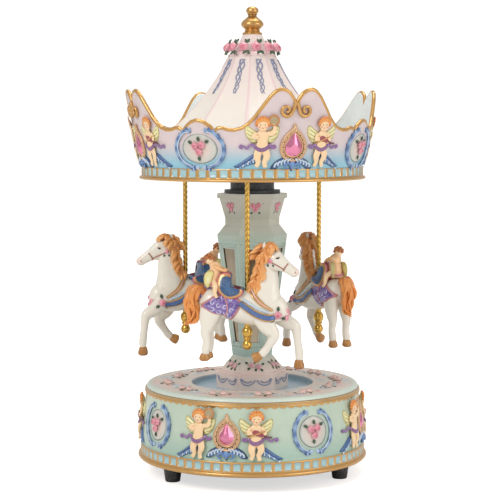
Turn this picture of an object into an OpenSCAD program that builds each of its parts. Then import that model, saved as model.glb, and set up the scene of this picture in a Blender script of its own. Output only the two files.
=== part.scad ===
// Wind up music box: a small carousel on a round base.
// Millimetres, +Z up, origin on the ground at the middle. The front is -Y.
// Places round the axis are angles from the front, positive towards +X.

/* [Base] */
// Radius of the gold lip round the bottom of the base
base_r = 75; // [70:1:90]
// Height of the base wall, from the lip's underside to the deck's seat
base_h = 45.8; // [40:0.2:55]
// Wall thickness at the top of the base
base_wall = 3.5; // [2.5:0.5:5]
// How far the wall leans in from the dentil band to the deck
base_taper = 3; // [0:0.5:6]
// Radius of the sunk ring round the column
recess_r = 39.5; // [32:0.5:48]
// Height of one foot
foot_h = 10.4; // [9.6:0.2:14]
// Diameter of a foot where it meets the base plate
foot_d = 12; // [10:0.5:14]

/* [Column] */
// Corner radius of the pedestal
pedestal_r = 23.6; // [21:0.2:30]
// Height of the pedestal
pedestal_h = 21; // [14:0.5:24]
// Corner radius at the foot of the column body
column_foot_r = 13; // [12:0.5:16]
// Corner radius at the widest place of the column body
column_top_r = 23; // [20:0.5:26]
// Height of the column body, up to the capital
column_h = 90; // [80:1:110]
// Height of the capital
capital_h = 16; // [12:0.5:22]
// Length of one mirror panel
mirror_l = 68; // [50:1:72]
// Thickness of the mirror glass
mirror_t = 1.2; // [0.8:0.1:1.6]

/* [Canopy] */
// Radius of the gold lip round the bottom of the crown
crown_r = 73.6; // [66:0.2:90]
// How far the crown's wall leans out to its tall peaks
crown_flare = 10; // [6:0.5:14]
// Height of the crown's tall peaks above the lip
crown_peak_h = 57; // [48:0.5:66]
// Thickness of the crown's wall
crown_wall = 3; // [2:0.5:4]
// Height of the tent roof above the canopy's underside
roof_h = 92.8; // [80:0.2:110]
// Thickness of the tent roof
roof_t = 2.6; // [2:0.2:4]
// Height of the finial
finial_h = 18; // [14:0.5:24]

/* [Poles and horses] */
// Distance of the poles from the axis
pole_circle_r = 52; // [48:0.5:58]
// Diameter of a pole
pole_d = 3.2; // [2.6:0.2:4]
// How far the two-ball nuts hang below the canopy
pole_drop = 105.2; // [96:0.2:108]
// Size of the horses, as a share of the full 80 mm tall ones
horse_scale = 1; // [0.8:0.01:1.05]

/* [Movement] */
// Diameter of the drive shaft and of the winding arbor
shaft_d = 4; // [3:0.5:5]
// Radial clearance of a shaft in its bearing
running_gap = 0.05; // [0.02:0.01:0.1]
// Number of teeth on the spring barrel's face gear
face_teeth = 30; // [28:2:34]
// Diameter of the pinned cylinder
cylinder_d = 13; // [12:0.5:13]
// Number of teeth on the comb
comb_teeth = 18; // [15:1:22]

/* [Hidden] */
$fn = 96;

// Colours
resin_mint = [0.72, 0.82, 0.75];
resin_pink = [0.89, 0.82, 0.80];
resin_lilac = [0.80, 0.82, 0.87];
resin_white = [0.93, 0.91, 0.87];
antique_gold = [0.72, 0.53, 0.24];
gem_pink = [0.90, 0.47, 0.63];
soft_black = [0.12, 0.13, 0.14];
steel = [0.72, 0.73, 0.75];
brass = [0.75, 0.60, 0.28];
zinc = [0.62, 0.63, 0.64];

// Fits shared by pieces that seat in each other
seat_gap = 0.1;
slip_gap = 0.15;
thrust_gap = 0.2;

// Base, from the ground up
lip_h = 2.9;
band_h = 6.5;
base_z = foot_h;
band_z = base_z + lip_h;
wall_z = band_z + band_h;
deck_seat_z = base_z + base_h;
band_r = base_r - 1.6;
wall_foot_r = base_r - 2.5;
wall_top_r = wall_foot_r - base_taper;
base_bore_r = wall_top_r - base_wall;
rope_h = 2;
plate_t = 2.5;
base_plate_r = base_bore_r + 2;
wall_lean = atan(base_taper / (deck_seat_z - wall_z));
deck_edge_h = 2.6;
deck_z = deck_seat_z + deck_edge_h;
recess_depth = 3.5;
recess_z = deck_z - recess_depth;
deck_floor_t = 3;
deck_spigot_t = 2;
boss_r = 4;
boss_h = 14;
boss_step = 0.5;
boss_angles = [100, 220, 340];
boss_circle_r = base_bore_r - boss_r - 0.5;
foot_angles = [-55, 65, 185];
foot_circle_r = base_r - 13;
foot_peg_d = 4;

// Column
column_turn = 7;
pedestal_z = recess_z;
pedestal_wall_h = 10;
pedestal_ledge_h = 1.5;
pedestal_neck_r = 21;
column_z = pedestal_z + pedestal_h;
neck_h = 11;
body_h = column_h - neck_h;
neck_r = 17.8;
capital_z = column_z + column_h;
capital_flare_r = column_top_r;
column_top_z = capital_z + capital_h;
column_bore_r = shaft_d / 2 + 2.5;
apothem = cos(30);
mirror_z = column_z + 6;
mirror_edge = 3.2;
mirror_depth = 1.8;
column_lean = atan((column_top_r - column_foot_r) * apothem / body_h);
bearing_plate_r = 18.2;
bearing_plate_t = 2.3;
bushing_r = shaft_d / 2 + 2;
bushing_flange_r = bushing_r + 2;
bushing_h = 10;

// Canopy
hub_z = column_top_z + bearing_plate_t + thrust_gap;
hub_r = 14.3;
hub_h = 7;
canopy_z = hub_z + hub_h;
canopy_plate_t = 3;
crown_bore_r = crown_r - 4;
crown_band_h = 8;
dip_h = crown_peak_h - 25;
small_peak_h = 6;
tall_peak_angle = 19.3;
roof_r = crown_bore_r - seat_gap;
roof_skirt_h = 16;
roof_top_z = canopy_z + roof_h;
roof_neck_r = 15.6;
roof_cap_h = 13;
garland_r = 3.4;
roof_bore_r = 2;
hub_spigot_r = 8;

// Poles
pole_angles = [-3.5, 121, 239.5];
horse_turns = [0, 0, -36];
pole_foot_z = canopy_z - pole_drop;
ball_nut_h = 16.8;
ball_nut_bore_h = 10;
lock_nut_h = 2.4;
pole_top_z = canopy_z + canopy_plate_t + lock_nut_h + 1;
horse_z = pole_foot_z + ball_nut_h + seat_gap + 1.0 * horse_scale;

// Gems
base_gem_turn = -12.9;
base_gem_w = 9;
base_gem_h = 13;
base_gem_z = wall_z + 17;
crown_gem_w = 10.5;
crown_gem_h = 15;
crown_gem_z = canopy_z + 23;
crown_gem_lean = 12;
gem_t = 2.2;
glue_gap = 0.1;

// Movement, from the base plate up
bed_z = base_z + plate_t;
bed_t = 3.5;
tooth_pitch = 2.5133;
face_r = face_teeth * tooth_pitch / (2 * PI);
pinion_teeth = face_teeth / 2;
pinion_r = face_r / 2;
addendum = 0.55;
dedendum = 0.8;
barrel_z = bed_z + bed_t + 0.3;
barrel_r = face_r + 1.8;
barrel_h = 9.5;
barrel_wall = 1.4;
barrel_cap_t = 1.5;
face_z = barrel_z + barrel_h;
arbor_z = face_z + 1 + pinion_r;
cylinder_len = 24.5;
cylinder_x = -barrel_r - 1.7 - cylinder_len;
cylinder_gap = 0.3;
cylinder_r = cylinder_d / 2;
pin_reach = 0.9;
pin_r = 0.25;
cylinder_arbor_r = 1;
bearing_post_x = cylinder_x - 2.6;
bearing_post_t = 1.6;
governor_gear_x = cylinder_x - 4.5;
governor_gear_t = 1.3;
governor_gear_teeth = 45;
governor_pinion_teeth = 9;
governor_pitch = 1.2566;
governor_gear_phase = 90 % (360 / governor_gear_teeth) - 180 / governor_gear_teeth;
governor_gear_r = governor_gear_teeth * governor_pitch / (2 * PI);
governor_pinion_r = governor_pinion_teeth * governor_pitch / (2 * PI);
governor_y = governor_gear_r + governor_pinion_r;
wheel_x = cylinder_x - 6.7;
wheel_t = 1.2;
wheel_r = 4.8;
wheel_teeth = 24;
worm_r = 1.2;
worm_y = governor_y + wheel_r + worm_r + 0.25;
worm_x = wheel_x + wheel_t / 2;
frame_t = 1.5;
frame_y = worm_y + 3;
frame_top_z = arbor_z + 8;
bridge_top_z = arbor_z + 6.5;
bridge_t = 2;
bridge_w = face_r - 2.5;
bridge_leg_y = barrel_r + 1.7;
bridge_leg_t = 3;
comb_t = 1;
comb_tip_y = cylinder_r + pin_reach + 0.2;
comb_root_y = comb_tip_y + 11.5;
comb_back_y = comb_tip_y + 22;
bed_x0 = cylinder_x - 12;
bed_x1 = barrel_r + 6.2;
bed_y0 = -comb_back_y - 3.4;
bed_y1 = max(bridge_leg_y + bridge_leg_t, frame_y + frame_t) + 2;
key_z = 1.4;
key_h = 8;

// Puts children at an angle from the front, pushed out from the axis
module place(angle, r = 0, z = 0) {
    rotate([0, 0, angle]) translate([0, -r, z]) children();
}

// Screw with a domed head, its shank pointing down from z = 0
module screw(head_r, head_h, shank_r, shank_l) {
    rotate_extrude() polygon([[0, -shank_l], [shank_r, -shank_l], [shank_r, 0], [head_r, 0],
        [head_r, head_h * 0.6], [head_r * 0.6, head_h], [0, head_h]]);
}

// Blank hole for a screw's shank, cut down from z = 0
module screw_hole(shank_r, shank_l) {
    translate([0, 0, -shank_l]) cylinder(r = shank_r, h = shank_l + 0.01);
}

// ---------- Base ----------

// Outline of the base wall: lip, dentil band, leaning wall and rope moulding
module base_outline() {
    polygon([[base_plate_r + seat_gap, base_z], [base_r - 0.8, base_z], [base_r, base_z + 0.8],
        [base_r, band_z - 0.8], [base_r - 0.8, band_z], [band_r, band_z + 0.4], [band_r, wall_z - 0.6],
        [wall_foot_r, wall_z], [wall_top_r, deck_seat_z - rope_h], [wall_top_r + 0.8, deck_seat_z - rope_h + 0.5],
        [wall_top_r + 0.8, deck_seat_z - 0.4], [wall_top_r + 0.4, deck_seat_z],
        [base_bore_r, deck_seat_z], [base_bore_r, base_z + plate_t],
        [base_plate_r + seat_gap, base_z + plate_t]]);
}

module base_drum() {
    color(resin_mint) difference() {
        union() {
            rotate_extrude() base_outline();
            for (a = boss_angles) {
                place(a, 0, base_z + plate_t + boss_step)
                    translate([-boss_r, -base_bore_r - 1.5, 0]) cube([2 * boss_r, 2 * boss_r + 2.5, boss_h]);
            }
        }
        for (a = boss_angles) {
            place(a, boss_circle_r, base_z + plate_t) cylinder(r = 1.2, h = 8);
        }
    }
}

module deck() {
    edge_r = wall_top_r - 0.2;
    color(resin_pink) difference() {
        union() {
            rotate_extrude() {
                translate([edge_r - deck_edge_h, deck_seat_z]) intersection() {
                    circle(r = deck_edge_h);
                    square(deck_edge_h);
                }
                polygon([[0, recess_z - deck_floor_t], [recess_r + 3, recess_z - deck_floor_t],
                    [recess_r + 4, deck_seat_z - deck_spigot_t], [base_bore_r - seat_gap, deck_seat_z - deck_spigot_t],
                    [base_bore_r - seat_gap, deck_seat_z], [edge_r - deck_edge_h, deck_seat_z],
                    [edge_r - deck_edge_h, deck_z], [recess_r + 0.6, deck_z], [recess_r, deck_z - 0.6],
                    [recess_r, recess_z], [0, recess_z]]);
            }
        }
        translate([0, 0, recess_z - deck_floor_t - 1]) cylinder(r = bushing_r, h = deck_floor_t + 2);
    }
}

module base_plate() {
    color(soft_black) difference() {
        translate([0, 0, base_z]) cylinder(r = base_plate_r, h = plate_t);
        translate([0, 0, base_z - 1]) cylinder(r = shaft_d / 2 + 1.5, h = plate_t + 2);
        for (a = foot_angles) {
            place(a, foot_circle_r, base_z - 0.01) cylinder(d = foot_peg_d + 2 * seat_gap, h = 2);
        }
        for (a = boss_angles) {
            place(a, boss_circle_r, base_z - 1) cylinder(r = 1.4, h = plate_t + 2);
            place(a, boss_circle_r, base_z - 1) cylinder(r = 3, h = 2.2);
        }
        for (p = movement_screw_points()) {
            translate([p[0], p[1], base_z - 1]) cylinder(r = 1.4, h = plate_t + 2);
            translate([p[0], p[1], base_z - 1]) cylinder(r = 3, h = 2.2);
        }
    }
}

// A tapered foot with a peg that seats in the base plate
module foot(k) {
    color(soft_black) place(foot_angles[k], foot_circle_r) {
        rotate_extrude() polygon([[0, 0], [foot_d * 0.37, 0], [foot_d * 0.4, 0.5], [foot_d / 2, foot_h - 1],
            [foot_d / 2, foot_h], [foot_peg_d / 2, foot_h], [foot_peg_d / 2, foot_h + 1.7], [0, foot_h + 1.7]]);
    }
}

module base_plate_screws() {
    color(steel) for (a = boss_angles) {
        place(a, boss_circle_r, base_z + 1.2) rotate([180, 0, 0]) screw(2.6, 1, 1.2, 7);
    }
}

// ---------- Column ----------

module pedestal() {
    color(resin_pink) difference() {
        union() {
            place(column_turn, 0, pedestal_z) {
                cylinder(r = pedestal_r, h = pedestal_wall_h, $fn = 6);
                translate([0, 0, pedestal_wall_h]) cylinder(r = pedestal_r - 1.2, h = pedestal_ledge_h, $fn = 6);
                translate([0, 0, pedestal_wall_h + pedestal_ledge_h])
                    cylinder(r1 = pedestal_neck_r, r2 = column_foot_r,
                        h = pedestal_h - pedestal_wall_h - pedestal_ledge_h, $fn = 6);
            }
        }
        translate([0, 0, pedestal_z - 1]) cylinder(r = column_bore_r, h = pedestal_h + 2);
        translate([0, 0, pedestal_z - 1]) cylinder(r = bushing_flange_r + slip_gap, h = 3);
    }
}

// Tapered mirror shape, lying on one leaning face of the column body
module mirror_shape(grow, depth_from, depth_to) {
    rise = mirror_z - column_z;
    r_low = column_foot_r + (column_top_r - column_foot_r) * rise / body_h;
    r_high = column_foot_r + (column_top_r - column_foot_r) * (rise + mirror_l) / body_h;
    w_low = r_low / 2 - mirror_edge / 2 + grow;
    w_high = r_high / 2 - mirror_edge / 2 + grow;
    translate([0, -column_foot_r * apothem, column_z]) rotate([90 + column_lean, 0, 0])
        translate([0, 0, depth_from]) linear_extrude(height = depth_to - depth_from)
            polygon([[-w_low, rise - grow], [w_low, rise - grow], [w_high, rise + mirror_l + grow],
                [-w_high, rise + mirror_l + grow]]);
}

module column_body() {
    color(resin_mint) difference() {
        place(column_turn, 0, column_z) {
            cylinder(r1 = column_foot_r, r2 = column_top_r, h = body_h, $fn = 6);
            translate([0, 0, body_h]) cylinder(r1 = column_top_r, r2 = neck_r, h = neck_h * 0.6, $fn = 6);
            translate([0, 0, body_h + neck_h * 0.6]) cylinder(r = neck_r, h = neck_h * 0.4, $fn = 6);
        }
        translate([0, 0, column_z - 1]) cylinder(r = column_bore_r, h = column_h + 2);
        for (k = [0:5]) {
            place(column_turn + 60 * k) mirror_shape(seat_gap, -mirror_depth, 2);
        }
    }
}

module mirror_panel(k) {
    color([0.80, 0.85, 0.88]) place(column_turn + 60 * k) mirror_shape(0, -mirror_depth, mirror_t - mirror_depth);
}

module capital() {
    color(resin_white) difference() {
        place(column_turn, 0, capital_z) {
            cylinder(r1 = neck_r, r2 = capital_flare_r - 1.5, h = capital_h * 0.8, $fn = 6);
            translate([0, 0, capital_h * 0.8]) cylinder(r = capital_flare_r, h = capital_h * 0.2, $fn = 6);
        }
        translate([0, 0, capital_z - 1]) cylinder(r = bushing_r, h = capital_h + 2);
    }
}

module bearing_plate() {
    color(soft_black) difference() {
        translate([0, 0, column_top_z]) cylinder(r = bearing_plate_r, h = bearing_plate_t);
        translate([0, 0, column_top_z - 1]) cylinder(r = bushing_r, h = bearing_plate_t + 2);
    }
}

// Brass tube bearing that the drive shaft runs in
module bushing(z, h) {
    color(brass) translate([0, 0, z]) difference() {
        cylinder(r = bushing_r, h = h);
        translate([0, 0, -1]) cylinder(r = shaft_d / 2 + running_gap, h = h + 2);
    }
}

module lower_bushing() {
    bushing(recess_z - deck_floor_t, deck_floor_t);
    color(brass) translate([0, 0, recess_z]) difference() {
        cylinder(r = bushing_flange_r, h = 1.5);
        translate([0, 0, -1]) cylinder(r = shaft_d / 2 + running_gap, h = 4);
    }
}

module upper_bushing() {
    bushing(column_top_z - bushing_h, bushing_h + bearing_plate_t);
}

// ---------- Gems ----------

// Flat-backed pear shape with its point up, glued on by its back, which is the plane y = 0
module gem(w, h) {
    low = -h / 2 + w / 2;
    rotate([90, 0, 0]) hull() {
        translate([0, low, 0]) cylinder(r = w / 2, h = 0.6, $fn = 32);
        translate([0, low, 0]) cylinder(r = w / 4, h = gem_t, $fn = 24);
        translate([0, h / 2 - 0.6, 0]) cylinder(r = 0.6, h = 0.6, $fn = 16);
    }
}

module base_gem_place(k) {
    r = wall_foot_r - base_taper * (base_gem_z - wall_z) / (deck_seat_z - wall_z) + glue_gap;
    place(base_gem_turn + 90 * k, r, base_gem_z) rotate([-wall_lean, 0, 0]) children();
}

module base_gem(k) {
    color(gem_pink) base_gem_place(k) gem(base_gem_w, base_gem_h);
}

module crown_gem_place(k) {
    place(tall_peak_angle + 90 * k, crown_radius(crown_gem_z - canopy_z) + glue_gap, crown_gem_z)
        rotate([crown_gem_lean, 0, 0]) children();
}

module crown_gem(k) {
    color(gem_pink) crown_gem_place(k) gem(crown_gem_w, crown_gem_h);
}

// ---------- Canopy ----------

// Outer radius of the crown's wall at a height above the lip
function crown_radius(h) = crown_r - 2.1 + crown_flare * pow(max(0, h - crown_band_h) / (crown_peak_h - crown_band_h), 0.85)
    + 1.9 * pow(max(0, h - crown_band_h) / (crown_peak_h - crown_band_h), 2);

// Height of the crown's wavy edge above the lip: tall peaks with small ones halfway between
function edge_height(angle) =
    let (a = abs(((angle - tall_peak_angle) % 90 + 135) % 90 - 45))
    dip_h + (crown_peak_h - dip_h) * exp(-pow(a / 12.5, 2)) + small_peak_h * exp(-pow((a - 45) / 7, 2));

crown_steps = 96;
crown_rows = 5;

// Outline of the crown at an angle: out along the lip, up the outer wall, and down the inner wall
function crown_ring(angle) =
    let (top = edge_height(angle), low = crown_band_h)
    concat(
        [[crown_bore_r, 0], [crown_r - 0.8, 0], [crown_r, 0.8], [crown_r, 1.2], [crown_r - 0.8, 2],
            [crown_r - 2.1, 2.2]],
        [for (i = [0:crown_rows]) let (h = low + (top - low) * i / crown_rows) [crown_radius(h), h]],
        [for (i = [crown_rows:-1:1]) let (h = low + (top - low) * i / crown_rows)
            [max(crown_bore_r, crown_radius(h) - crown_wall), h]]);

module canopy_crown() {
    n = len(crown_ring(0));
    points = [for (s = [0:crown_steps - 1]) let (angle = s * 360 / crown_steps)
        for (p = crown_ring(angle)) [p[0] * sin(angle), -p[0] * cos(angle), canopy_z + p[1]]];
    faces = [for (s = [0:crown_steps - 1]) for (i = [0:n - 1])
        let (a = s * n + i, b = s * n + (i + 1) % n, t = ((s + 1) % crown_steps) * n)
        for (f = [[a, b, t + (i + 1) % n], [a, t + (i + 1) % n, t + i]]) f];
    color(resin_lilac) polyhedron(points = points, faces = faces, convexity = 8);
}

module canopy_plate() {
    color(resin_lilac) difference() {
        translate([0, 0, canopy_z]) cylinder(r = roof_r, h = canopy_plate_t);
        translate([0, 0, canopy_z - 1]) cylinder(r = hub_spigot_r, h = canopy_plate_t + 2);
        for (a = pole_angles) {
            place(a, pole_circle_r, canopy_z - 1) cylinder(d = pole_d, h = canopy_plate_t + 2);
        }
        for (k = [0:2]) {
            place(60 + 120 * k, hub_r - 3.2, canopy_z - 1) cylinder(r = 1.2, h = canopy_plate_t + 2);
        }
    }
}

// Outer outline of the tent, from its skirt to the garland and the dome
function tent_outline() =
    let (run = roof_r - roof_neck_r, rise = roof_h - roof_cap_h - roof_skirt_h)
    [for (i = [0:12]) let (t = i / 12)
        [roof_r - run * t, canopy_z + roof_skirt_h + rise * (0.8 * t + 0.2 * pow(t, 5))]];

module canopy_roof() {
    tent = tent_outline();
    garland_z = roof_top_z - 8;
    color(resin_white) rotate_extrude() {
        polygon(concat([[roof_r - roof_t, canopy_z + canopy_plate_t], [roof_r, canopy_z + canopy_plate_t]], tent,
            [[12, garland_z + 3], [6.5, roof_top_z], [roof_bore_r, roof_top_z], [roof_bore_r, roof_top_z - 8]],
            [for (i = [12:-1:0]) [tent[i][0] - roof_t * 0.9, tent[i][1] - roof_t * 1.1]]));
        translate([roof_neck_r - 2, garland_z]) circle(r = garland_r);
    }
}

module roof_finial() {
    z = roof_top_z;
    neck_z = finial_h - 6;
    color(antique_gold) rotate_extrude() {
        polygon([[0, z - 5], [roof_bore_r, z - 5], [roof_bore_r, z], [6, z], [6.4, z + 0.7], [5.8, z + 1.4],
            [4.6, z + 1.8], [5, z + 2.4], [4.6, z + 3], [3.6, z + 3.4], [3.6, z + neck_z - 3],
            [2.4, z + neck_z], [2.4, z + neck_z + 1], [0, z + neck_z + 1]]);
        translate([0, z + 6.6]) intersection() {
            translate([2.8, 0]) circle(r = 4.4);
            translate([0, -4]) square([8, 8]);
        }
        translate([0, z + finial_h - 4]) intersection() {
            circle(r = 4);
            translate([0, -4]) square([4, 8]);
        }
    }
}

module canopy_hub() {
    color(soft_black) difference() {
        union() {
            translate([0, 0, hub_z]) cylinder(r = hub_r, h = hub_h);
            translate([0, 0, hub_z]) cylinder(r = hub_spigot_r - seat_gap, h = hub_h + canopy_plate_t);
        }
        translate([0, 0, hub_z - 1]) cylinder(d = shaft_d, h = hub_h + canopy_plate_t - 1);
        for (k = [0:2]) {
            place(60 + 120 * k, hub_r - 3.2, canopy_z) screw_hole(1.2, 5);
        }
    }
}

module hub_screws() {
    color(steel) for (k = [0:2]) {
        place(60 + 120 * k, hub_r - 3.2, canopy_z + canopy_plate_t) screw(2.2, 1.6, 1.2, canopy_plate_t + 4.5);
    }
}

module drive_shaft() {
    z = face_z;
    top = hub_z + hub_h + canopy_plate_t - 2;
    color(steel) translate([0, 0, z]) cylinder(d = shaft_d, h = top - z);
}

// ---------- Poles and horses ----------

module pole(k) {
    z = pole_foot_z + ball_nut_h - ball_nut_bore_h;
    color(brass) place(pole_angles[k], pole_circle_r, z) cylinder(d = pole_d, h = pole_top_z - z);
}

module pole_lock_nuts() {
    color(brass) for (a = pole_angles) {
        place(a, pole_circle_r, canopy_z + canopy_plate_t) difference() {
            cylinder(r = 3.4, h = lock_nut_h, $fn = 6);
            translate([0, 0, -1]) cylinder(d = pole_d, h = lock_nut_h + 2);
        }
    }
}

// Two balls on a stem, with a blind bore for the pole's end
module pole_ball_nut(k) {
    color(brass) place(pole_angles[k], pole_circle_r, pole_foot_z) difference() {
        union() {
            translate([0, 0, 3.2]) sphere(r = 3.1);
            translate([0, 0, 2]) cylinder(r = 2.1, h = ball_nut_h - 2);
            translate([0, 0, 11.2]) sphere(r = 3.4);
            translate([0, 0, 7.2]) cylinder(r = 2.6, h = 1);
        }
        translate([0, 0, ball_nut_h - ball_nut_bore_h]) cylinder(d = pole_d, h = ball_nut_bore_h + 1);
    }
}

// Limb between two round ends
module limb(p, r, q, s) {
    hull() {
        translate(p) sphere(r = r, $fn = 12);
        translate(q) sphere(r = s, $fn = 12);
    }
}

// Leg through a list of [x, y, z, radius] joints
module leg(joints) {
    for (i = [0:len(joints) - 2]) {
        a = joints[i];
        b = joints[i + 1];
        limb([a[0], a[1], a[2]], a[3], [b[0], b[1], b[2]], b[3]);
    }
}

// Leaping horse, nose towards +X, with the pole through its own origin and its belly near z = 0
module horse_shape() {
    leg([[14, 0, 8.2, 9.2], [-2, 0, 8.4, 9.4], [-21, 0, 11, 8.6]]);
    leg([[17, 0, 11, 7.4], [14.5, 0, 27, 5.2], [12.6, -1, 42, 4.2]]);
    leg([[14.5, -1.4, 42.5, 4.2], [20, -2.6, 38, 3.6], [28.5, -4.6, 32.5, 2.6]]);
    leg([[9, 0, 43, 2.6], [4, 0, 34, 2.8], [4.5, 0, 22, 2.6]]);
    leg([[12.5, -5, 3.5, 4.2], [20, -5.8, -6, 2.2], [11.5, -5.6, -18.5, 1.7], [7.4, -5.4, -22, 2.2]]);
    leg([[21, 4.8, 2.5, 4], [32.3, 5, -3.2, 2.2], [32.6, 5, -21, 1.7], [33, 5, -27.6, 2.4]]);
    for (side = [-1, 1]) {
        leg([[-23.5, 4.4 * side, 9, 6.2], [-23.6, 5 * side, -4, 2.7], [-24.6, 5 * side, -17, 1.8],
            [-23.6, 5 * side, -22, 2.3]]);
    }
    leg([[-26, 0, 16.5, 3], [-29.5, 0, 20.5, 2.6], [-35, 0, 22, 3], [-38.5, 0, 13, 3.4], [-35.5, 0, 4.5, 2]]);
    leg([[-15, 0, 20, 5], [-15.5, 0, 24, 4.6], [-12.5, 0, 29.5, 2.2]]);
    leg([[-17.6, 0, 27, 4], [-17.8, 0, 34, 3], [-22.6, 0, 39, 2.6]]);
}

module horse(k) {
    color(resin_white) place(pole_angles[k], pole_circle_r, horse_z) rotate([0, 0, horse_turns[k]]) difference() {
        scale(horse_scale) horse_shape();
        translate([0, 0, -20]) cylinder(d = pole_d + 0.3, h = 80, $fn = 24);
    }
}

// ---------- Movement ----------

// Places of the three screws that hold the bedplate from below
function movement_screw_points() = [[bed_x0 + 8, bed_y1 - 5], [bed_x1 - 5, bed_y0 + 6], [bed_x1 - 5, bed_y1 - 5]];

// Places of the comb screws along the comb
function comb_screw_points() = [for (i = [-1:1])
    [cylinder_x + cylinder_len / 2 + i * (cylinder_len / 2 - 4), -(comb_root_y + comb_back_y) / 2]];

// Places of the screws in the feet of the barrel bridge
function bridge_screw_points() = [for (sx = [-1, 1]) for (sy = [-1, 1])
    [sx * (bridge_w - 2.6), sy * (bridge_leg_y + bridge_leg_t / 2)]];

module movement_bedplate() {
    ledge_y = comb_root_y + 0.6;
    color(zinc) difference() {
        union() {
            translate([bed_x0, bed_y0, bed_z]) cube([bed_x1 - bed_x0, bed_y1 - bed_y0, bed_t]);
            translate([cylinder_x - 2, -comb_back_y - 1, bed_z])
                cube([cylinder_len + 4, comb_back_y + 1 - ledge_y, arbor_z - comb_t / 2 - bed_z]);
            translate([bearing_post_x, -3.5, bed_z]) cube([bearing_post_t, 7, arbor_z + 3 - bed_z]);
        }
        translate([0, 0, bed_z - 1]) cylinder(r = shaft_d / 2 + running_gap, h = bed_t + 2);
        translate([bearing_post_x - 1, 0, arbor_z]) rotate([0, 90, 0])
            cylinder(r = cylinder_arbor_r + running_gap, h = bearing_post_t + 2);
        for (p = movement_screw_points()) {
            translate([p[0], p[1], bed_z - 1]) cylinder(r = 1.2, h = bed_t + 2);
        }
        for (p = bridge_screw_points()) {
            translate([p[0], p[1], bed_z + bed_t]) screw_hole(0.8, 3);
        }
        for (p = comb_screw_points()) {
            translate([p[0], p[1], arbor_z - comb_t / 2]) screw_hole(1, 5);
        }
        for (y = [frame_y - 3.5, frame_y - 10]) {
            translate([worm_x, y, bed_z + bed_t]) screw_hole(0.8, 2.5);
        }
        translate([bed_x0, bed_y0, bed_z - 1]) rotate([0, 0, 45]) cube([14, 14, 40], center = true);
    }
}

module movement_screws() {
    color(steel) {
        for (p = movement_screw_points()) {
            translate([p[0], p[1], base_z + 1.2]) rotate([180, 0, 0]) screw(2.6, 1, 1.2, plate_t - 1.2 + bed_t - 0.5);
        }
        for (y = [frame_y - 3.5, frame_y - 10]) {
            translate([worm_x, y, bed_z + bed_t + 1]) screw(1.5, 0.9, 0.8, 3.2);
        }
    }
}

module barrel_bridge() {
    z = bed_z + bed_t;
    h = bridge_top_z - z;
    color(zinc) difference() {
        union() {
            translate([-bridge_w, -bridge_leg_y - bridge_leg_t, bridge_top_z])
                cube([2 * bridge_w, 2 * (bridge_leg_y + bridge_leg_t), bridge_t]);
            for (side = [-1, 1]) {
                translate([-bridge_w, side * (bridge_leg_y + bridge_leg_t / 2) - bridge_leg_t / 2, z])
                    cube([2 * bridge_w, bridge_leg_t, h]);
            }
            translate([-bridge_w, -3, arbor_z - 3]) cube([2, 6, bridge_top_z - arbor_z + 3]);
        }
        translate([0, 0, bridge_top_z - 1]) cylinder(r = shaft_d / 2 + running_gap, h = bridge_t + 2);
        translate([-bridge_w - 1, 0, arbor_z]) rotate([0, 90, 0])
            cylinder(r = cylinder_arbor_r + running_gap, h = 4);
        for (p = bridge_screw_points()) {
            translate([p[0], p[1], z - 1]) cylinder(r = 0.8, h = h + bridge_t + 2);
        }
    }
}

module bridge_screws() {
    color(steel) for (p = bridge_screw_points()) {
        translate([p[0], p[1], bridge_top_z + bridge_t]) screw(1.4, 1, 0.8, bridge_top_z + bridge_t - bed_z - bed_t + 2.8);
    }
}

module comb() {
    pitch = cylinder_len / comb_teeth;
    color(steel) difference() {
        translate([cylinder_x, -comb_back_y, arbor_z - comb_t / 2])
            cube([cylinder_len, comb_back_y - comb_tip_y, comb_t]);
        for (i = [1:comb_teeth - 1]) {
            translate([cylinder_x + i * pitch - 0.15, -comb_root_y, arbor_z - comb_t])
                cube([0.3, comb_root_y, 2 * comb_t]);
        }
        for (p = comb_screw_points()) {
            translate([p[0], p[1], arbor_z - 2]) cylinder(r = 1.15, h = 4);
        }
    }
}

module comb_screws() {
    color(steel) for (p = comb_screw_points()) {
        translate([p[0], p[1], arbor_z + comb_t / 2]) screw(1.9, 1.2, 1, comb_t + 4.5);
    }
}

// Bracket that carries the governor wheel's axle and the upright worm
module governor_frame() {
    z = bed_z + bed_t;
    arm_y = governor_y - 2;
    color(brass) difference() {
        union() {
            translate([worm_x - 4, frame_y, z]) cube([8, frame_t, frame_top_z - z]);
            translate([worm_x - 2.4, governor_y - 4, z]) cube([4.8, frame_y - governor_y + 4, 1]);
            for (level = [arbor_z - 9.5, frame_top_z - frame_t]) {
                translate([worm_x - 2, worm_y - 2, level]) cube([4, frame_y - worm_y + 2, frame_t]);
            }
            for (x = [wheel_x - 2.6, governor_gear_x + 2.1]) {
                translate([x, arm_y, arbor_z - 2]) cube([1, frame_y - arm_y, 4]);
            }
        }
        translate([worm_x, worm_y, z]) cylinder(r = 0.5 + running_gap, h = 40);
        translate([wheel_x - 4, governor_y, arbor_z]) rotate([0, 90, 0]) cylinder(r = 0.5 + running_gap, h = 14);
        for (y = [frame_y - 3.5, frame_y - 10]) {
            translate([worm_x, y, z - 1]) cylinder(r = 0.9, h = 3);
        }
    }
}

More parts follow.
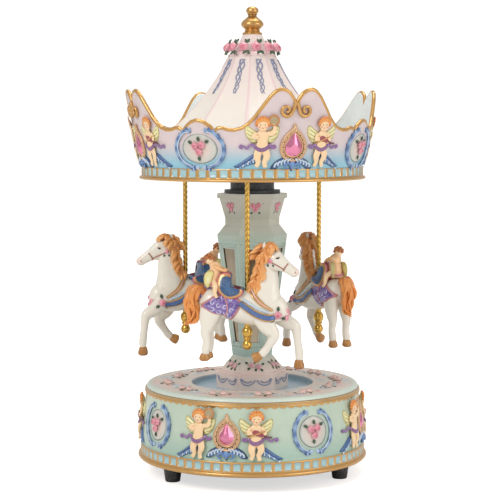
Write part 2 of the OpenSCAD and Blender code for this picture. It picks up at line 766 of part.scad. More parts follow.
// Spring barrel: a can with a ring of upright teeth on its lid
module spring_barrel() {
    color(brass) {
        difference() {
            translate([0, 0, barrel_z]) cylinder(r = barrel_r, h = barrel_h);
            translate([0, 0, barrel_z + barrel_cap_t])
                cylinder(r = barrel_r - barrel_wall, h = barrel_h - 2 * barrel_cap_t);
            translate([0, 0, barrel_z - 1]) cylinder(r = shaft_d / 2 + running_gap, h = barrel_cap_t + 2);
        }
        for (i = [0:face_teeth - 1]) {
            rotate([0, 0, (i + 0.5) * 360 / face_teeth]) translate([-face_r - 1.2, 0, face_z]) rotate([90, 0, 90])
                linear_extrude(height = 2.4)
                    polygon([[-0.55, -0.4], [0.55, -0.4], [0.55, 0], [0.3, 1 + addendum],
                        [-0.3, 1 + addendum], [-0.55, 0]]);
        }
    }
}

// Coiled spring strip, wound from the arbor out to the barrel's wall
module mainspring() {
    turns = 7;
    steps = 24;
    t = 0.35;
    r0 = shaft_d / 2 + 1;
    r1 = barrel_r - barrel_wall - t - 0.15;
    z = barrel_z + barrel_cap_t + 0.4;
    h = barrel_h - 2 * barrel_cap_t - 0.8;
    function strip(i, off) = let (a = i * 360 / steps, r = r0 + (r1 - r0) * i / (turns * steps) + off)
        [r * cos(a), r * sin(a)];
    color(steel) translate([0, 0, z]) linear_extrude(height = h)
        polygon(concat([for (i = [0:turns * steps]) strip(i, 0)], [for (i = [turns * steps:-1:0]) strip(i, t)]));
}

// Toothed disc with straight-sided teeth, lying in the plane z = 0
module toothed_disc(teeth, pitch_r, add, ded, half_w, t) {
    linear_extrude(height = t) union() {
        circle(r = pitch_r - ded);
        for (i = [0:teeth - 1]) {
            rotate(i * 360 / teeth) polygon([[pitch_r - ded - 0.3, -half_w * 1.3], [pitch_r, -half_w],
                [pitch_r + add, -half_w * 0.6], [pitch_r + add, half_w * 0.6], [pitch_r, half_w],
                [pitch_r - ded - 0.3, half_w * 1.3]]);
        }
    }
}

// Puts children with their own Z along the row's X, their own X pointing down
module along_x(x, y = 0) {
    translate([x, y, arbor_z]) rotate([0, 90, 0]) children();
}

module cylinder_gears() {
    color(brass) {
        along_x(-face_r - 1) difference() {
            toothed_disc(pinion_teeth, pinion_r, addendum, dedendum, 0.42, 2);
            translate([0, 0, -1]) cylinder(r = cylinder_arbor_r, h = 4);
        }
        along_x(governor_gear_x) difference() {
            rotate([0, 0, governor_gear_phase]) toothed_disc(governor_gear_teeth, governor_gear_r, 0.28, 0.42, 0.2, governor_gear_t);
            translate([0, 0, -1]) cylinder(r = cylinder_arbor_r, h = 4);
        }
    }
}

module cylinder_arbor() {
    color(steel) along_x(wheel_x - 1.4) cylinder(r = cylinder_arbor_r, h = -bridge_w + 1.8 - (wheel_x - 1.4));
}

// Cylinder with rows of pins that follow a repeating tune pattern
module pinned_cylinder() {
    pitch = cylinder_len / comb_teeth;
    color(brass) along_x(cylinder_x) difference() {
        union() {
            translate([0, 0, cylinder_gap]) cylinder(r = cylinder_r, h = cylinder_len - 2 * cylinder_gap);
            for (i = [0:comb_teeth - 1]) {
                for (j = [0:3]) {
                    rotate([0, 0, 90 * j + (i * 47) % 90]) translate([0, 0, (i + 0.5) * pitch]) rotate([0, 90, 0])
                        cylinder(r = pin_r, h = cylinder_r + pin_reach);
                }
            }
        }
        translate([0, 0, -1]) cylinder(r = cylinder_arbor_r, h = cylinder_len + 2);
    }
}

module governor_wheel() {
    half = 180 / governor_pinion_teeth;
    color(brass) along_x(0, governor_y) {
        translate([0, 0, wheel_x]) toothed_disc(wheel_teeth, wheel_r - 0.3, 0.3, 0.5, 0.3, wheel_t);
        translate([0, 0, governor_gear_x - 0.1]) rotate([0, 0, half + 90])
            toothed_disc(governor_pinion_teeth, governor_pinion_r, 0.28, 0.42, 0.2, governor_gear_t + 0.2);
        translate([0, 0, wheel_x - 2.4]) cylinder(r = 0.5, h = governor_gear_x - wheel_x + 5.2);
        translate([0, 0, wheel_x]) cylinder(r = 1.1, h = governor_gear_x - wheel_x);
    }
}

// Upright worm with a two-bladed air brake on top
module governor_fan() {
    z = arbor_z - 9.3;
    blade_z = frame_top_z + 0.6;
    color(steel) translate([worm_x, worm_y, 0]) {
        translate([0, 0, z]) cylinder(r = 0.5, h = blade_z + 5 - z);
        for (i = [-5:5]) {
            translate([0, 0, arbor_z + i * 1.2 - 0.35]) cylinder(r = worm_r, h = 0.7);
        }
        translate([-5, -0.3, blade_z]) cube([10, 0.6, 6.5]);
    }
}

module winding_arbor() {
    top = barrel_z + barrel_h - barrel_cap_t - 0.5;
    color(steel) translate([0, 0, key_z + 3]) cylinder(d = shaft_d, h = top - key_z - 3);
}

// Butterfly key with a threaded socket for the arbor
module winding_key() {
    wing_r = key_h / 2 - 0.6;
    color(antique_gold) difference() {
        union() {
            translate([0, 0, key_z]) cylinder(r = shaft_d / 2 + 1.3, h = key_h);
            for (side = [-1, 1]) {
                translate([0, 0.9, key_z + wing_r]) rotate([90, 0, 0]) linear_extrude(height = 1.8) difference() {
                    union() {
                        translate([side * 10, 0]) circle(r = wing_r);
                        translate([side * 5 - 5, -wing_r * 0.6]) square([10, wing_r * 1.2]);
                    }
                    translate([side * 10, 0]) circle(r = wing_r * 0.45);
                }
            }
        }
        translate([0, 0, key_z + 3]) cylinder(d = shaft_d, h = key_h);
    }
}

base_drum();
deck();
base_plate();
foot(0);  // foot_1
foot(1);  // foot_2
foot(2);  // foot_3
base_plate_screws();
pedestal();
column_body();
mirror_panel(0);  // mirror_panel_1
mirror_panel(1);  // mirror_panel_2
mirror_panel(2);  // mirror_panel_3
mirror_panel(3);  // mirror_panel_4
mirror_panel(4);  // mirror_panel_5
mirror_panel(5);  // mirror_panel_6
capital();
bearing_plate();
lower_bushing();
upper_bushing();
base_gem(0);  // base_gem_1
base_gem(1);  // base_gem_2
base_gem(2);  // base_gem_3
base_gem(3);  // base_gem_4
movement_bedplate();
movement_screws();
barrel_bridge();
bridge_screws();
comb();
comb_screws();
governor_frame();
spring_barrel();
mainspring();
drive_shaft();
canopy_hub();
hub_screws();
canopy_plate();
canopy_crown();
canopy_roof();
roof_finial();
pole(0);  // pole_1
pole(1);  // pole_2
pole(2);  // pole_3
pole_lock_nuts();
pole_ball_nut(0);  // pole_ball_nut_1
pole_ball_nut(1);  // pole_ball_nut_2
pole_ball_nut(2);  // pole_ball_nut_3
horse(0);  // horse_1
horse(1);  // horse_2
horse(2);  // horse_3
crown_gem(0);  // crown_gem_1
crown_gem(1);  // crown_gem_2
crown_gem(2);  // crown_gem_3
crown_gem(3);  // crown_gem_4
pinned_cylinder();
cylinder_arbor();
cylinder_gears();
governor_wheel();
governor_fan();
winding_arbor();
winding_key();
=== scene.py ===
"""Carousel music box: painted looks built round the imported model."""
import math

import bmesh
import bpy
import numpy as np
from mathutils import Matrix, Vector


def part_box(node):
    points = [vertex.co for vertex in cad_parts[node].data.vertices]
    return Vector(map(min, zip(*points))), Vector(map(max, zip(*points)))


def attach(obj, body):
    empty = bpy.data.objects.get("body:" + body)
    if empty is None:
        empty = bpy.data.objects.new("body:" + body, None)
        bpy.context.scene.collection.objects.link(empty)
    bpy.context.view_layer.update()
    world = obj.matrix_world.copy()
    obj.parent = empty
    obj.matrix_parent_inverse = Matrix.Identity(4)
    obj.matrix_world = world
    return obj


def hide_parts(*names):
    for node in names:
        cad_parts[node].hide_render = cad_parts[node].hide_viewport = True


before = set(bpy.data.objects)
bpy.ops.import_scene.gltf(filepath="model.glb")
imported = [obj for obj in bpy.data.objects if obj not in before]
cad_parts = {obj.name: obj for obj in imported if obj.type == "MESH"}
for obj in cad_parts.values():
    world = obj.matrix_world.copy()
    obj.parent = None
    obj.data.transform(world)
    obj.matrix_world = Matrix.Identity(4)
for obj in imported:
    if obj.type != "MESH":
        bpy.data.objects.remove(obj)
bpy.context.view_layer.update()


# ---------------------------------------------------------------------------
# Table, light and camera. A plain pale table under soft studio lamps; the
# camera stands a metre off, a little above the middle of the box.
# ---------------------------------------------------------------------------
def plain_material(name, colour, rough):
    """One flat colour with faint clouding that glows a little for the camera alone, so its far end stays pale."""
    mat = bpy.data.materials.new(name)
    mat.use_nodes = True
    shader = mat.node_tree.nodes["Principled BSDF"]
    noise = mat.node_tree.nodes.new("ShaderNodeTexNoise")
    noise.inputs["Scale"].default_value = 3
    ramp = mat.node_tree.nodes.new("ShaderNodeValToRGB")
    ramp.color_ramp.elements[0].color = [c * 0.985 for c in colour] + [1]
    ramp.color_ramp.elements[1].color = list(colour) + [1]
    mat.node_tree.links.new(noise.outputs["Fac"], ramp.inputs["Fac"])
    mat.node_tree.links.new(ramp.outputs["Color"], shader.inputs["Base Color"])
    shader.inputs["Roughness"].default_value = rough
    seen = mat.node_tree.nodes.new("ShaderNodeLightPath")
    lift = mat.node_tree.nodes.new("ShaderNodeMath")
    lift.operation = "MULTIPLY"
    lift.inputs[1].default_value = 0.62
    mat.node_tree.links.new(seen.outputs["Is Camera Ray"], lift.inputs[0])
    mat.node_tree.links.new(lift.outputs["Value"], shader.inputs["Emission Strength"])
    shader.inputs["Emission Color"].default_value = (1, 1, 1, 1)
    return mat


bpy.ops.mesh.primitive_plane_add(size=12, location=(0, 0, 0))
table = bpy.context.object
table.name = "table"
table.data.materials.append(plain_material("pale_table", (0.93, 0.93, 0.93), 0.6))

world = bpy.data.worlds.new("studio")
world.use_nodes = True
sky_nodes = world.node_tree.nodes
sky_nodes["Background"].inputs["Color"].default_value = (1, 0.975, 0.935, 1)
seen = sky_nodes.new("ShaderNodeLightPath")
strength = sky_nodes.new("ShaderNodeMapRange")
strength.inputs["To Min"].default_value = 0.6
strength.inputs["To Max"].default_value = 1.12
world.node_tree.links.new(seen.outputs["Is Camera Ray"], strength.inputs["Value"])
world.node_tree.links.new(strength.outputs["Result"], sky_nodes["Background"].inputs["Strength"])
bpy.context.scene.world = world
bpy.context.scene.view_settings.view_transform = "Standard"


def lamp(name, place, aim, size, watts):
    """Square area lamp at a place, turned to face its aim."""
    data = bpy.data.lights.new(name, "AREA")
    data.size = size
    data.energy = watts
    data.color = (1, 0.97, 0.93)
    lit = bpy.data.objects.new(name, data)
    bpy.context.collection.objects.link(lit)
    lit.location = place
    towards = np.subtract(aim, place)
    lit.rotation_euler = (math.atan2(math.hypot(towards[0], towards[1]), -towards[2]), 0,
                          math.atan2(towards[1], towards[0]) - math.pi / 2)
    return lit


lamp("key", (-0.75, -0.9, 0.95), (0, 0, 0.15), 0.5, 6.8)
lamp("fill", (0.95, -0.7, 0.5), (0, 0, 0.15), 0.7, 3.5)
lamp("top", (0.1, 0.25, 1.2), (0, 0, 0.1), 0.6, 4.5)

camera_data = bpy.data.cameras.new("camera")
camera_data.lens = 115
camera_data.sensor_width = 36
camera = bpy.data.objects.new("camera", camera_data)
bpy.context.collection.objects.link(camera)
camera.location = (-0.0015, -1.04, 0.2287)
camera.rotation_euler = (math.radians(90 - 4.6), 0, 0)
bpy.context.scene.camera = camera


# ---------------------------------------------------------------------------
# Base drum: cast resin, mint wall between a gold lip with a dentil band and a
# gold rope under the deck. Painted by hand, then varnished.
# ---------------------------------------------------------------------------
MM = 0.001


def box_mm(node):
    """Lowest and highest corner of a CAD node, in millimetres."""
    low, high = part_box(node)
    return np.array(low) / MM, np.array(high) / MM


def tint(red, green, blue, gold=0.0):
    """Paint colour from 0 to 255 screen values, as linear light, with how much of it is gold leaf as the fourth."""
    c = np.array([red, green, blue]) / 255
    c = np.where(c <= 0.04045, c / 12.92, ((c + 0.055) / 1.055) ** 2.4)
    return np.append(c, gold)


GOLD = tint(212, 164, 98, 1.0)
GOLD_DARK = tint(138, 96, 50, 0.8)


def blend_paint(a, b, share):
    """Paint a where share is 0 and paint b where it is 1, for a whole array of shares."""
    share = np.clip(np.asarray(share, float), 0, 1)[..., None]
    return a * (1 - share) + b * share


def smooth_step(x, low, high):
    """0 below low, 1 above high, and an s-curve between."""
    t = np.clip((x - low) / (high - low), 0, 1)
    return t * t * (3 - 2 * t)


def grid_quads(rows, columns, wrap_rows=False, wrap_columns=True):
    """Quads over a rows by columns grid of points, joined round on the sides that wrap."""
    r = np.arange(rows if wrap_rows else rows - 1)
    c = np.arange(columns if wrap_columns else columns - 1)
    r, c = np.meshgrid(r, c, indexing="ij")
    up, on = (r + 1) % rows, (c + 1) % columns
    return np.stack([r * columns + c, r * columns + on, up * columns + on, up * columns + c], -1).reshape(-1, 4)


def ring_points(angle, radius, height):
    """Points round the axis: angle in radians from the front towards +X, radius and height in millimetres."""
    return np.stack([radius * np.sin(angle), -radius * np.cos(angle), height + 0 * angle], -1)


def finish_group():
    """Hand-finish effect: cloudy mottling of the paint, pale flecks, gloss that varies, brush bump."""
    group = bpy.data.node_groups.new("hand_finish", "ShaderNodeTree")
    sockets = group.interface
    sockets.new_socket("Paint", in_out="INPUT", socket_type="NodeSocketColor")
    sockets.new_socket("Mottle", in_out="INPUT", socket_type="NodeSocketFloat")
    sockets.new_socket("Grain", in_out="INPUT", socket_type="NodeSocketFloat")
    sockets.new_socket("Gloss", in_out="INPUT", socket_type="NodeSocketFloat")
    sockets.new_socket("Paint", in_out="OUTPUT", socket_type="NodeSocketColor")
    sockets.new_socket("Roughness", in_out="OUTPUT", socket_type="NodeSocketFloat")
    sockets.new_socket("Normal", in_out="OUTPUT", socket_type="NodeSocketVector")
    nodes, links = group.nodes, group.links
    given = nodes.new("NodeGroupInput")
    out = nodes.new("NodeGroupOutput")
    where = nodes.new("ShaderNodeTexCoord")
    cloud = nodes.new("ShaderNodeTexNoise")
    cloud.inputs["Scale"].default_value = 90
    cloud.inputs["Detail"].default_value = 6
    cloud.inputs["Roughness"].default_value = 0.62
    fine = nodes.new("ShaderNodeTexNoise")
    fine.inputs["Detail"].default_value = 4
    links.new(where.outputs["Object"], cloud.inputs["Vector"])
    links.new(where.outputs["Object"], fine.inputs["Vector"])
    links.new(given.outputs["Grain"], fine.inputs["Scale"])
    spread = nodes.new("ShaderNodeMapRange")
    spread.inputs["From Min"].default_value = 0.3
    spread.inputs["From Max"].default_value = 0.7
    links.new(cloud.outputs["Fac"], spread.inputs["Value"])
    amount = nodes.new("ShaderNodeMath")
    amount.operation = "MULTIPLY"
    links.new(spread.outputs["Result"], amount.inputs[0])
    links.new(given.outputs["Mottle"], amount.inputs[1])
    darker = nodes.new("ShaderNodeMix")
    darker.data_type = "RGBA"
    darker.blend_type = "MULTIPLY"
    darker.inputs[7].default_value = (0.74, 0.76, 0.80, 1)
    links.new(amount.outputs[0], darker.inputs[0])
    links.new(given.outputs["Paint"], darker.inputs[6])
    speck = nodes.new("ShaderNodeMapRange")
    speck.inputs["From Min"].default_value = 0.58
    speck.inputs["From Max"].default_value = 0.72
    speck.inputs["To Max"].default_value = 0.35
    links.new(fine.outputs["Fac"], speck.inputs["Value"])
    lighter = nodes.new("ShaderNodeMix")
    lighter.data_type = "RGBA"
    lighter.blend_type = "SCREEN"
    lighter.inputs[7].default_value = (0.35, 0.34, 0.32, 1)
    links.new(speck.outputs["Result"], lighter.inputs[0])
    links.new(darker.outputs[2], lighter.inputs[6])
    links.new(lighter.outputs[2], out.inputs["Paint"])
    gloss = nodes.new("ShaderNodeMath")
    gloss.operation = "MULTIPLY_ADD"
    gloss.inputs[1].default_value = 0.22
    links.new(fine.outputs["Fac"], gloss.inputs[0])
    links.new(given.outputs["Gloss"], gloss.inputs[2])
    links.new(gloss.outputs[0], out.inputs["Roughness"])
    bump = nodes.new("ShaderNodeBump")
    bump.inputs["Strength"].default_value = 0.25
    bump.inputs["Distance"].default_value = 0.0002
    links.new(fine.outputs["Fac"], bump.inputs["Height"])
    links.new(bump.outputs["Normal"], out.inputs["Normal"])
    return group


hand_finish = finish_group()


def painted(name, mottle=0.3, grain=900, gloss=0.22, coat=0.35, leaf=0.75):
    """Varnished paint. It reads the piece's own paint attribute; its fourth value says where the paint is gold leaf."""
    mat = bpy.data.materials.new(name)
    mat.use_nodes = True
    nodes, links = mat.node_tree.nodes, mat.node_tree.links
    shader = nodes["Principled BSDF"]
    source = nodes.new("ShaderNodeAttribute")
    source.attribute_name = "paint"
    finish = nodes.new("ShaderNodeGroup")
    finish.node_tree = hand_finish
    finish.inputs["Mottle"].default_value = mottle
    finish.inputs["Grain"].default_value = grain
    finish.inputs["Gloss"].default_value = gloss
    links.new(source.outputs["Color"], finish.inputs["Paint"])
    links.new(finish.outputs["Paint"], shader.inputs["Base Color"])
    links.new(finish.outputs["Roughness"], shader.inputs["Roughness"])
    links.new(finish.outputs["Normal"], shader.inputs["Normal"])
    metal = nodes.new("ShaderNodeMath")
    metal.operation = "MULTIPLY"
    metal.inputs[1].default_value = leaf
    links.new(source.outputs["Alpha"], metal.inputs[0])
    links.new(metal.outputs[0], shader.inputs["Metallic"])
    shader.inputs["Coat Weight"].default_value = coat
    shader.inputs["Coat Roughness"].default_value = 0.15
    return mat


def piece(name, points, quads, paint, material, body, replaced=()):
    """Mesh piece from points in millimetres, quads and a paint per point, riding on a body of the frame."""
    mesh = bpy.data.meshes.new(name)
    mesh.from_pydata(np.asarray(points, float).reshape(-1, 3) * MM, [], np.asarray(quads).tolist())
    mesh.validate()
    mesh.polygons.foreach_set("use_smooth", np.ones(len(mesh.polygons), bool))
    colours = mesh.attributes.new("paint", "FLOAT_COLOR", "POINT")
    paint = np.broadcast_to(np.asarray(paint, float).reshape(-1, 4), (len(mesh.vertices), 4))
    colours.data.foreach_set("color", np.ascontiguousarray(paint, dtype=np.float32).ravel())
    mesh.materials.append(material)
    made = bpy.data.objects.new(name, mesh)
    bpy.context.collection.objects.link(made)
    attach(made, body)
    if replaced:
        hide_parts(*replaced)
    return made


resin_paint = painted("varnished_resin")
drum_low, drum_high = box_mm("base_drum")
DRUM_FOOT_Z = drum_low[2]
DRUM_R = drum_high[0]
DECK_SEAT_Z = drum_high[2]
BAND_Z = DRUM_FOOT_Z + 2.9
WALL_Z = BAND_Z + 6.5
MINT = tint(190, 208, 190)
MINT_DEEP = tint(164, 194, 180)
POOL_BLUE = tint(168, 208, 216)


def wall_radius(height):
    """Radius of the drum's leaning wall at a height."""
    return DRUM_R - 2.5 - 3.0 * (height - WALL_Z) / (DECK_SEAT_Z - WALL_Z)


def dentils(angle, count, share=0.46):
    """1 on the raised gold bars between the squares of a dentil band, 0 in the squares, with soft flanks."""
    place = np.abs((angle * count / (2 * np.pi)) % 1 - 0.5) * 2
    return smooth_step(place, 1 - share - 0.09, 1 - share + 0.09)


def drum_surface():
    """The drum's section carried round the axis; the dentil bars and the scallops under the rope raise it."""
    turns = 864
    angle = np.linspace(0, 2 * np.pi, turns, endpoint=False)[None, :]
    lip_turn = np.linspace(-np.pi / 2, np.pi / 2, 9)
    lip_z = DRUM_FOOT_Z + 1.45 + 1.45 * np.sin(lip_turn)
    lip_r = DRUM_R - 1.5 + 1.5 * np.cos(lip_turn)
    band_z = BAND_Z + np.array([0.1, 0.4, 0.7, 0.85, 1.05, 3.2, 5.45, 5.65, 5.8, 6.1, 6.5])
    wall_z = np.linspace(WALL_Z + 0.25, DECK_SEAT_Z - 4.6, 24)
    rope_z = np.linspace(DECK_SEAT_Z - 4.3, DECK_SEAT_Z + 0.2, 22)
    height = np.concatenate([[DRUM_FOOT_Z + 0.2], lip_z, band_z, wall_z, rope_z, [DECK_SEAT_Z, DECK_SEAT_Z - 1]])
    radius = np.concatenate([[DRUM_R - 6], lip_r, np.full(len(band_z), DRUM_R - 2.2), wall_radius(wall_z),
                             wall_radius(rope_z), [DRUM_R - 7.5, DRUM_R - 9.5]])
    z = height[:, None] + 0 * angle
    r = radius[:, None] + 0 * angle
    paint = np.broadcast_to(MINT, z.shape + (4,)).copy()

    in_band = ((z > BAND_Z) & (z < WALL_Z + 0.1)).astype(float)
    rails = smooth_step(np.abs(z - BAND_Z - 3.25), 2.2, 2.45) * in_band
    bars = np.maximum(dentils(angle, 72, 0.34) * in_band, rails)
    r += 0.75 * bars
    paint = np.where(in_band[..., None] > 0, blend_paint(POOL_BLUE, GOLD, bars), paint)
    paint = np.where((z < BAND_Z)[..., None], GOLD, paint)

    rise = (z - WALL_Z) / (DECK_SEAT_Z - WALL_Z)
    on_wall = (z > WALL_Z + 0.1) & (z < DECK_SEAT_Z - 4.4)
    paint = np.where(on_wall[..., None], blend_paint(MINT_DEEP, MINT, smooth_step(rise, 0, 0.5)), paint)
    upper = z >= DECK_SEAT_Z - 4.4
    drop = DECK_SEAT_Z - z
    beads = np.exp(-((drop - 0.75) / 0.45) ** 2) + np.exp(-((drop - 2.0) / 0.45) ** 2)
    tooth = np.abs(np.sin(angle * 40)) ** 0.7
    scallop = smooth_step(tooth * 1.5 + 2.45 - drop, 0, 0.35) * smooth_step(drop, 2.1, 2.4)
    outer = radius[:, None] > DRUM_R - 7
    r += np.where(upper & outer, 0.85 * beads + 0.4 * scallop, 0)
    rope_gold = np.clip(beads * 1.6 + scallop, 0, 1)
    paint = np.where((upper & outer)[..., None], blend_paint(MINT, GOLD, rope_gold), paint)
    paint = np.where((upper & outer & (beads < 0.25) & (drop < 2.3))[..., None], GOLD_DARK, paint)
    return ring_points(angle, r, z), grid_quads(len(height), turns), paint


points, quads, paint = drum_surface()
piece("drum_wall", points, quads, paint, resin_paint, "base", ["base_drum"])


# ---------------------------------------------------------------------------
# Deck: cast resin plate glued on the drum, mint on its round rim and pale
# pink on top, with a sky-blue sunk ring round the column.
# ---------------------------------------------------------------------------
deck_low, deck_high = box_mm("deck")
DECK_R = deck_high[0]
DECK_Z = deck_high[2]
RIM = DECK_Z - DECK_SEAT_Z
pedestal_low, pedestal_high = box_mm("pedestal")
RECESS_Z = pedestal_low[2]
RECESS_R = 39.5
DECK_PINK = tint(222, 208, 194)
SKY = tint(163, 194, 214)


def deck_surface():
    """Rim arc, gently waved top and the step down into the sunk ring, carried round the axis."""
    turns = 360
    angle = np.linspace(0, 2 * np.pi, turns, endpoint=False)[None, :]
    arc = np.linspace(-0.35, np.pi / 2, 14)
    rim_r = DECK_R - RIM + RIM * np.cos(arc)
    rim_z = DECK_Z - RIM + 0.1 + (RIM - 0.1) * np.sin(arc)
    top_r = np.linspace(DECK_R - RIM - 1, RECESS_R + 1.6, 24)
    step_r = RECESS_R + np.array([1.1, 0.6, 0.2, 0, -0.1, -0.5])
    step_z = DECK_Z - np.array([0, 0.12, 0.5, 1.5, 3.2, 3.45])
    floor_r = np.linspace(RECESS_R - 1.2, 4.2, 12)
    radius = np.concatenate([rim_r, top_r, step_r, floor_r])
    height = np.concatenate([rim_z, np.full(len(top_r), DECK_Z), step_z, np.full(len(floor_r), RECESS_Z)])
    r = radius[:, None] + 0 * angle
    z = height[:, None] + 0 * angle
    swell = np.sin(angle * 8 + 0.22 * r) * np.sin(angle * 3 - 0.15 * r)
    on_top = smooth_step(r, RECESS_R + 1, RECESS_R + 5) * (1 - smooth_step(r, DECK_R - 6, DECK_R - RIM))
    z = z + on_top * (0.22 * swell - 0.22)
    shade = smooth_step(r, DECK_R - 4.5, DECK_R - 1.6)
    paint = blend_paint(DECK_PINK, tint(206, 219, 208), shade)
    paint = blend_paint(paint, tint(188, 200, 210), 0.8 * on_top * smooth_step(swell, 0.2, 0.9))
    paint = blend_paint(paint, tint(236, 196, 190), 0.7 * on_top * smooth_step(-swell, 0.3, 0.9))
    paint = np.where((r < RECESS_R + 0.3)[..., None], blend_paint(SKY, tint(150, 178, 196),
                     smooth_step(r, RECESS_R - 4, RECESS_R)), paint)
    edge = np.exp(-((r - RECESS_R - 0.8) / 0.7) ** 2)
    paint = blend_paint(paint, tint(240, 226, 216), edge * (r > RECESS_R))
    return ring_points(angle, r, z), grid_quads(len(radius), turns), paint


points, quads, paint = deck_surface()
piece("deck_top", points, quads, paint, resin_paint, "base", ["deck"])


# ---------------------------------------------------------------------------
# Crown: cast resin wall of the canopy. Lilac-pink fading to sky blue at the
# bottom, a dentil band on the lip, and a wavy top edge with tall double scrolls.
# ---------------------------------------------------------------------------
crown_low, crown_high = box_mm("canopy_crown")
CROWN_Z = crown_low[2]
gem_low, gem_high = box_mm("crown_gem_1")
PEAK_ANGLE = math.atan2(gem_low[0] + gem_high[0], -gem_low[1] - gem_high[1])
LILAC = tint(220, 204, 206)
CROWN_BLUE = tint(140, 196, 216)
CROWN_IN = tint(226, 234, 234)


def crown_radius(height):
    """Outer radius of the crown's wall at a height above the lip: it flares out, faster at first."""
    x = np.clip((height - 8) / 49, 0, 1.1)
    return 71.3 + 9.6 * x ** 0.85 + 1.7 * x ** 2


def crown_edge(angle):
    """Height of the wavy edge above the lip: two humps and a notch at each tall peak, a small peak between."""
    away = np.degrees(np.abs((angle - PEAK_ANGLE + np.pi / 4) % (np.pi / 2) - np.pi / 4))
    stops = [0, 1.2, 3, 5, 7, 9, 11.5, 14.5, 18, 21, 24, 27.5, 30.5, 33, 35, 36.6, 37.2, 39, 42, 45]
    rises = [47, 50.3, 54, 55.8, 56.3, 55.2, 51.8, 46.2, 39.7, 35.6, 33, 31.8, 32, 33.1, 33, 31.4, 31.1, 34, 36.8, 37.8]
    return np.interp(away, stops, rises)


def crown_surface():
    """Lip and dentil band, then rows from the band up to the wavy edge outside and down again inside."""
    turns = 960
    angle = np.linspace(0, 2 * np.pi, turns, endpoint=False)[None, :]
    edge = crown_edge(angle)
    lip_turn = np.linspace(-np.pi / 2, np.pi / 2, 8)
    low_h = np.concatenate([1.0 + 1.0 * np.sin(lip_turn), [2.1, 2.5, 2.75, 2.95, 5.1, 7.25, 7.45, 7.9, 8.2]])
    low_r = np.concatenate([72.5 + 1.0 * np.cos(lip_turn), np.full(9, 71.2)])
    share = np.linspace(0.02, 1, 30)[:, None]
    up_h = 8.2 + (edge - 8.2) * share
    in_h = 8.2 + (edge - 8.2) * share[::-1]
    h = np.concatenate([low_h[:, None] + 0 * angle, up_h, in_h, [4 + 0 * angle[0]]])
    r = np.concatenate([low_r[:, None] + 0 * angle, crown_radius(up_h), np.maximum(crown_radius(in_h) - 2.6, 69.7),
                        [69.7 + 0 * angle[0]]])
    inside = np.zeros(h.shape, bool)
    inside[len(low_h) + 30:] = True
    band = (h > 2.05) & (h < 8.1) & ~inside
    rails = smooth_step(np.abs(h - 5.1), 2.2, 2.5)
    bars = np.maximum(dentils(angle, 64, 0.34), rails) * band
    r = r + 0.7 * bars
    fade = smooth_step(h, 9, 25)
    paint = blend_paint(CROWN_BLUE, LILAC, fade)
    paint = np.where(band[..., None], blend_paint(POOL_BLUE, GOLD, bars), paint)
    paint = np.where(((h < 2.05) & ~inside)[..., None], GOLD, paint)
    paint = np.where(inside[..., None], CROWN_IN, paint)
    return ring_points(angle, r, CROWN_Z + h), grid_quads(len(h), turns), paint


points, quads, paint = crown_surface()
piece("crown_wall", points, quads, paint, resin_paint, "canopy", ["canopy_crown"])


def spline(stops, count, closed=False):
    """Smooth curve through stops (any number of columns): Catmull-Rom, count points in all."""
    stops = np.asarray(stops, float)
    if closed:
        around = np.concatenate([stops[-1:], stops, stops[:2]])
    else:
        around = np.concatenate([2 * stops[:1] - stops[1:2], stops, 2 * stops[-1:] - stops[-2:-1]])
    spans = len(around) - 3
    t = np.linspace(0, spans, count, endpoint=not closed)
    i = np.minimum(t.astype(int), spans - 1)
    f = (t - i)[:, None]
    a, b, c, d = around[i], around[i + 1], around[i + 2], around[i + 3]
    return 0.5 * (2 * b + (c - a) * f + (2 * a - 5 * b + 4 * c - d) * f ** 2 + (3 * b - a - 3 * c + d) * f ** 3)


def sweep(path, radius, across=(0, 1, 0), sides=8, flat=1.0, closed=False):
    """Ellipse carried along a path: each ring lies across the path, radius wide, and flat times that along `across`."""
    path = np.asarray(path, float)
    radius = np.broadcast_to(np.asarray(radius, float), (len(path),))[:, None, None]
    flat = np.broadcast_to(np.asarray(flat, float), (len(path),))[:, None, None]
    if closed:
        along = np.roll(path, -1, 0) - np.roll(path, 1, 0)
    else:
        along = np.gradient(path, axis=0)
    along /= np.linalg.norm(along, axis=1, keepdims=True) + 1e-12
    out = np.broadcast_to(np.asarray(across, float), path.shape)
    out = out - (out * along).sum(1, keepdims=True) * along
    out = out / (np.linalg.norm(out, axis=1, keepdims=True) + 1e-12)
    side = np.cross(along, out)
    turn = np.linspace(0, 2 * np.pi, sides, endpoint=False)
    ring = np.cos(turn)[None, :, None] * side[:, None, :] + flat * np.sin(turn)[None, :, None] * out[:, None, :]
    points = path[:, None, :] + radius * ring
    if closed:
        return points.reshape(-1, 3), grid_quads(len(path), sides, wrap_rows=True)
    ends = np.stack([path[0], path[-1]])
    quads = grid_quads(len(path), sides)
    n = len(path) * sides
    turn_on = np.arange(sides)
    low_cap = np.stack([np.full(sides, n), (turn_on + 1) % sides, turn_on, turn_on], -1)
    last = (len(path) - 1) * sides
    high_cap = np.stack([np.full(sides, n + 1), last + turn_on, last + (turn_on + 1) % sides,
                         last + (turn_on + 1) % sides], -1)
    return np.concatenate([points.reshape(-1, 3), ends]), np.concatenate([quads, low_cap, high_cap])


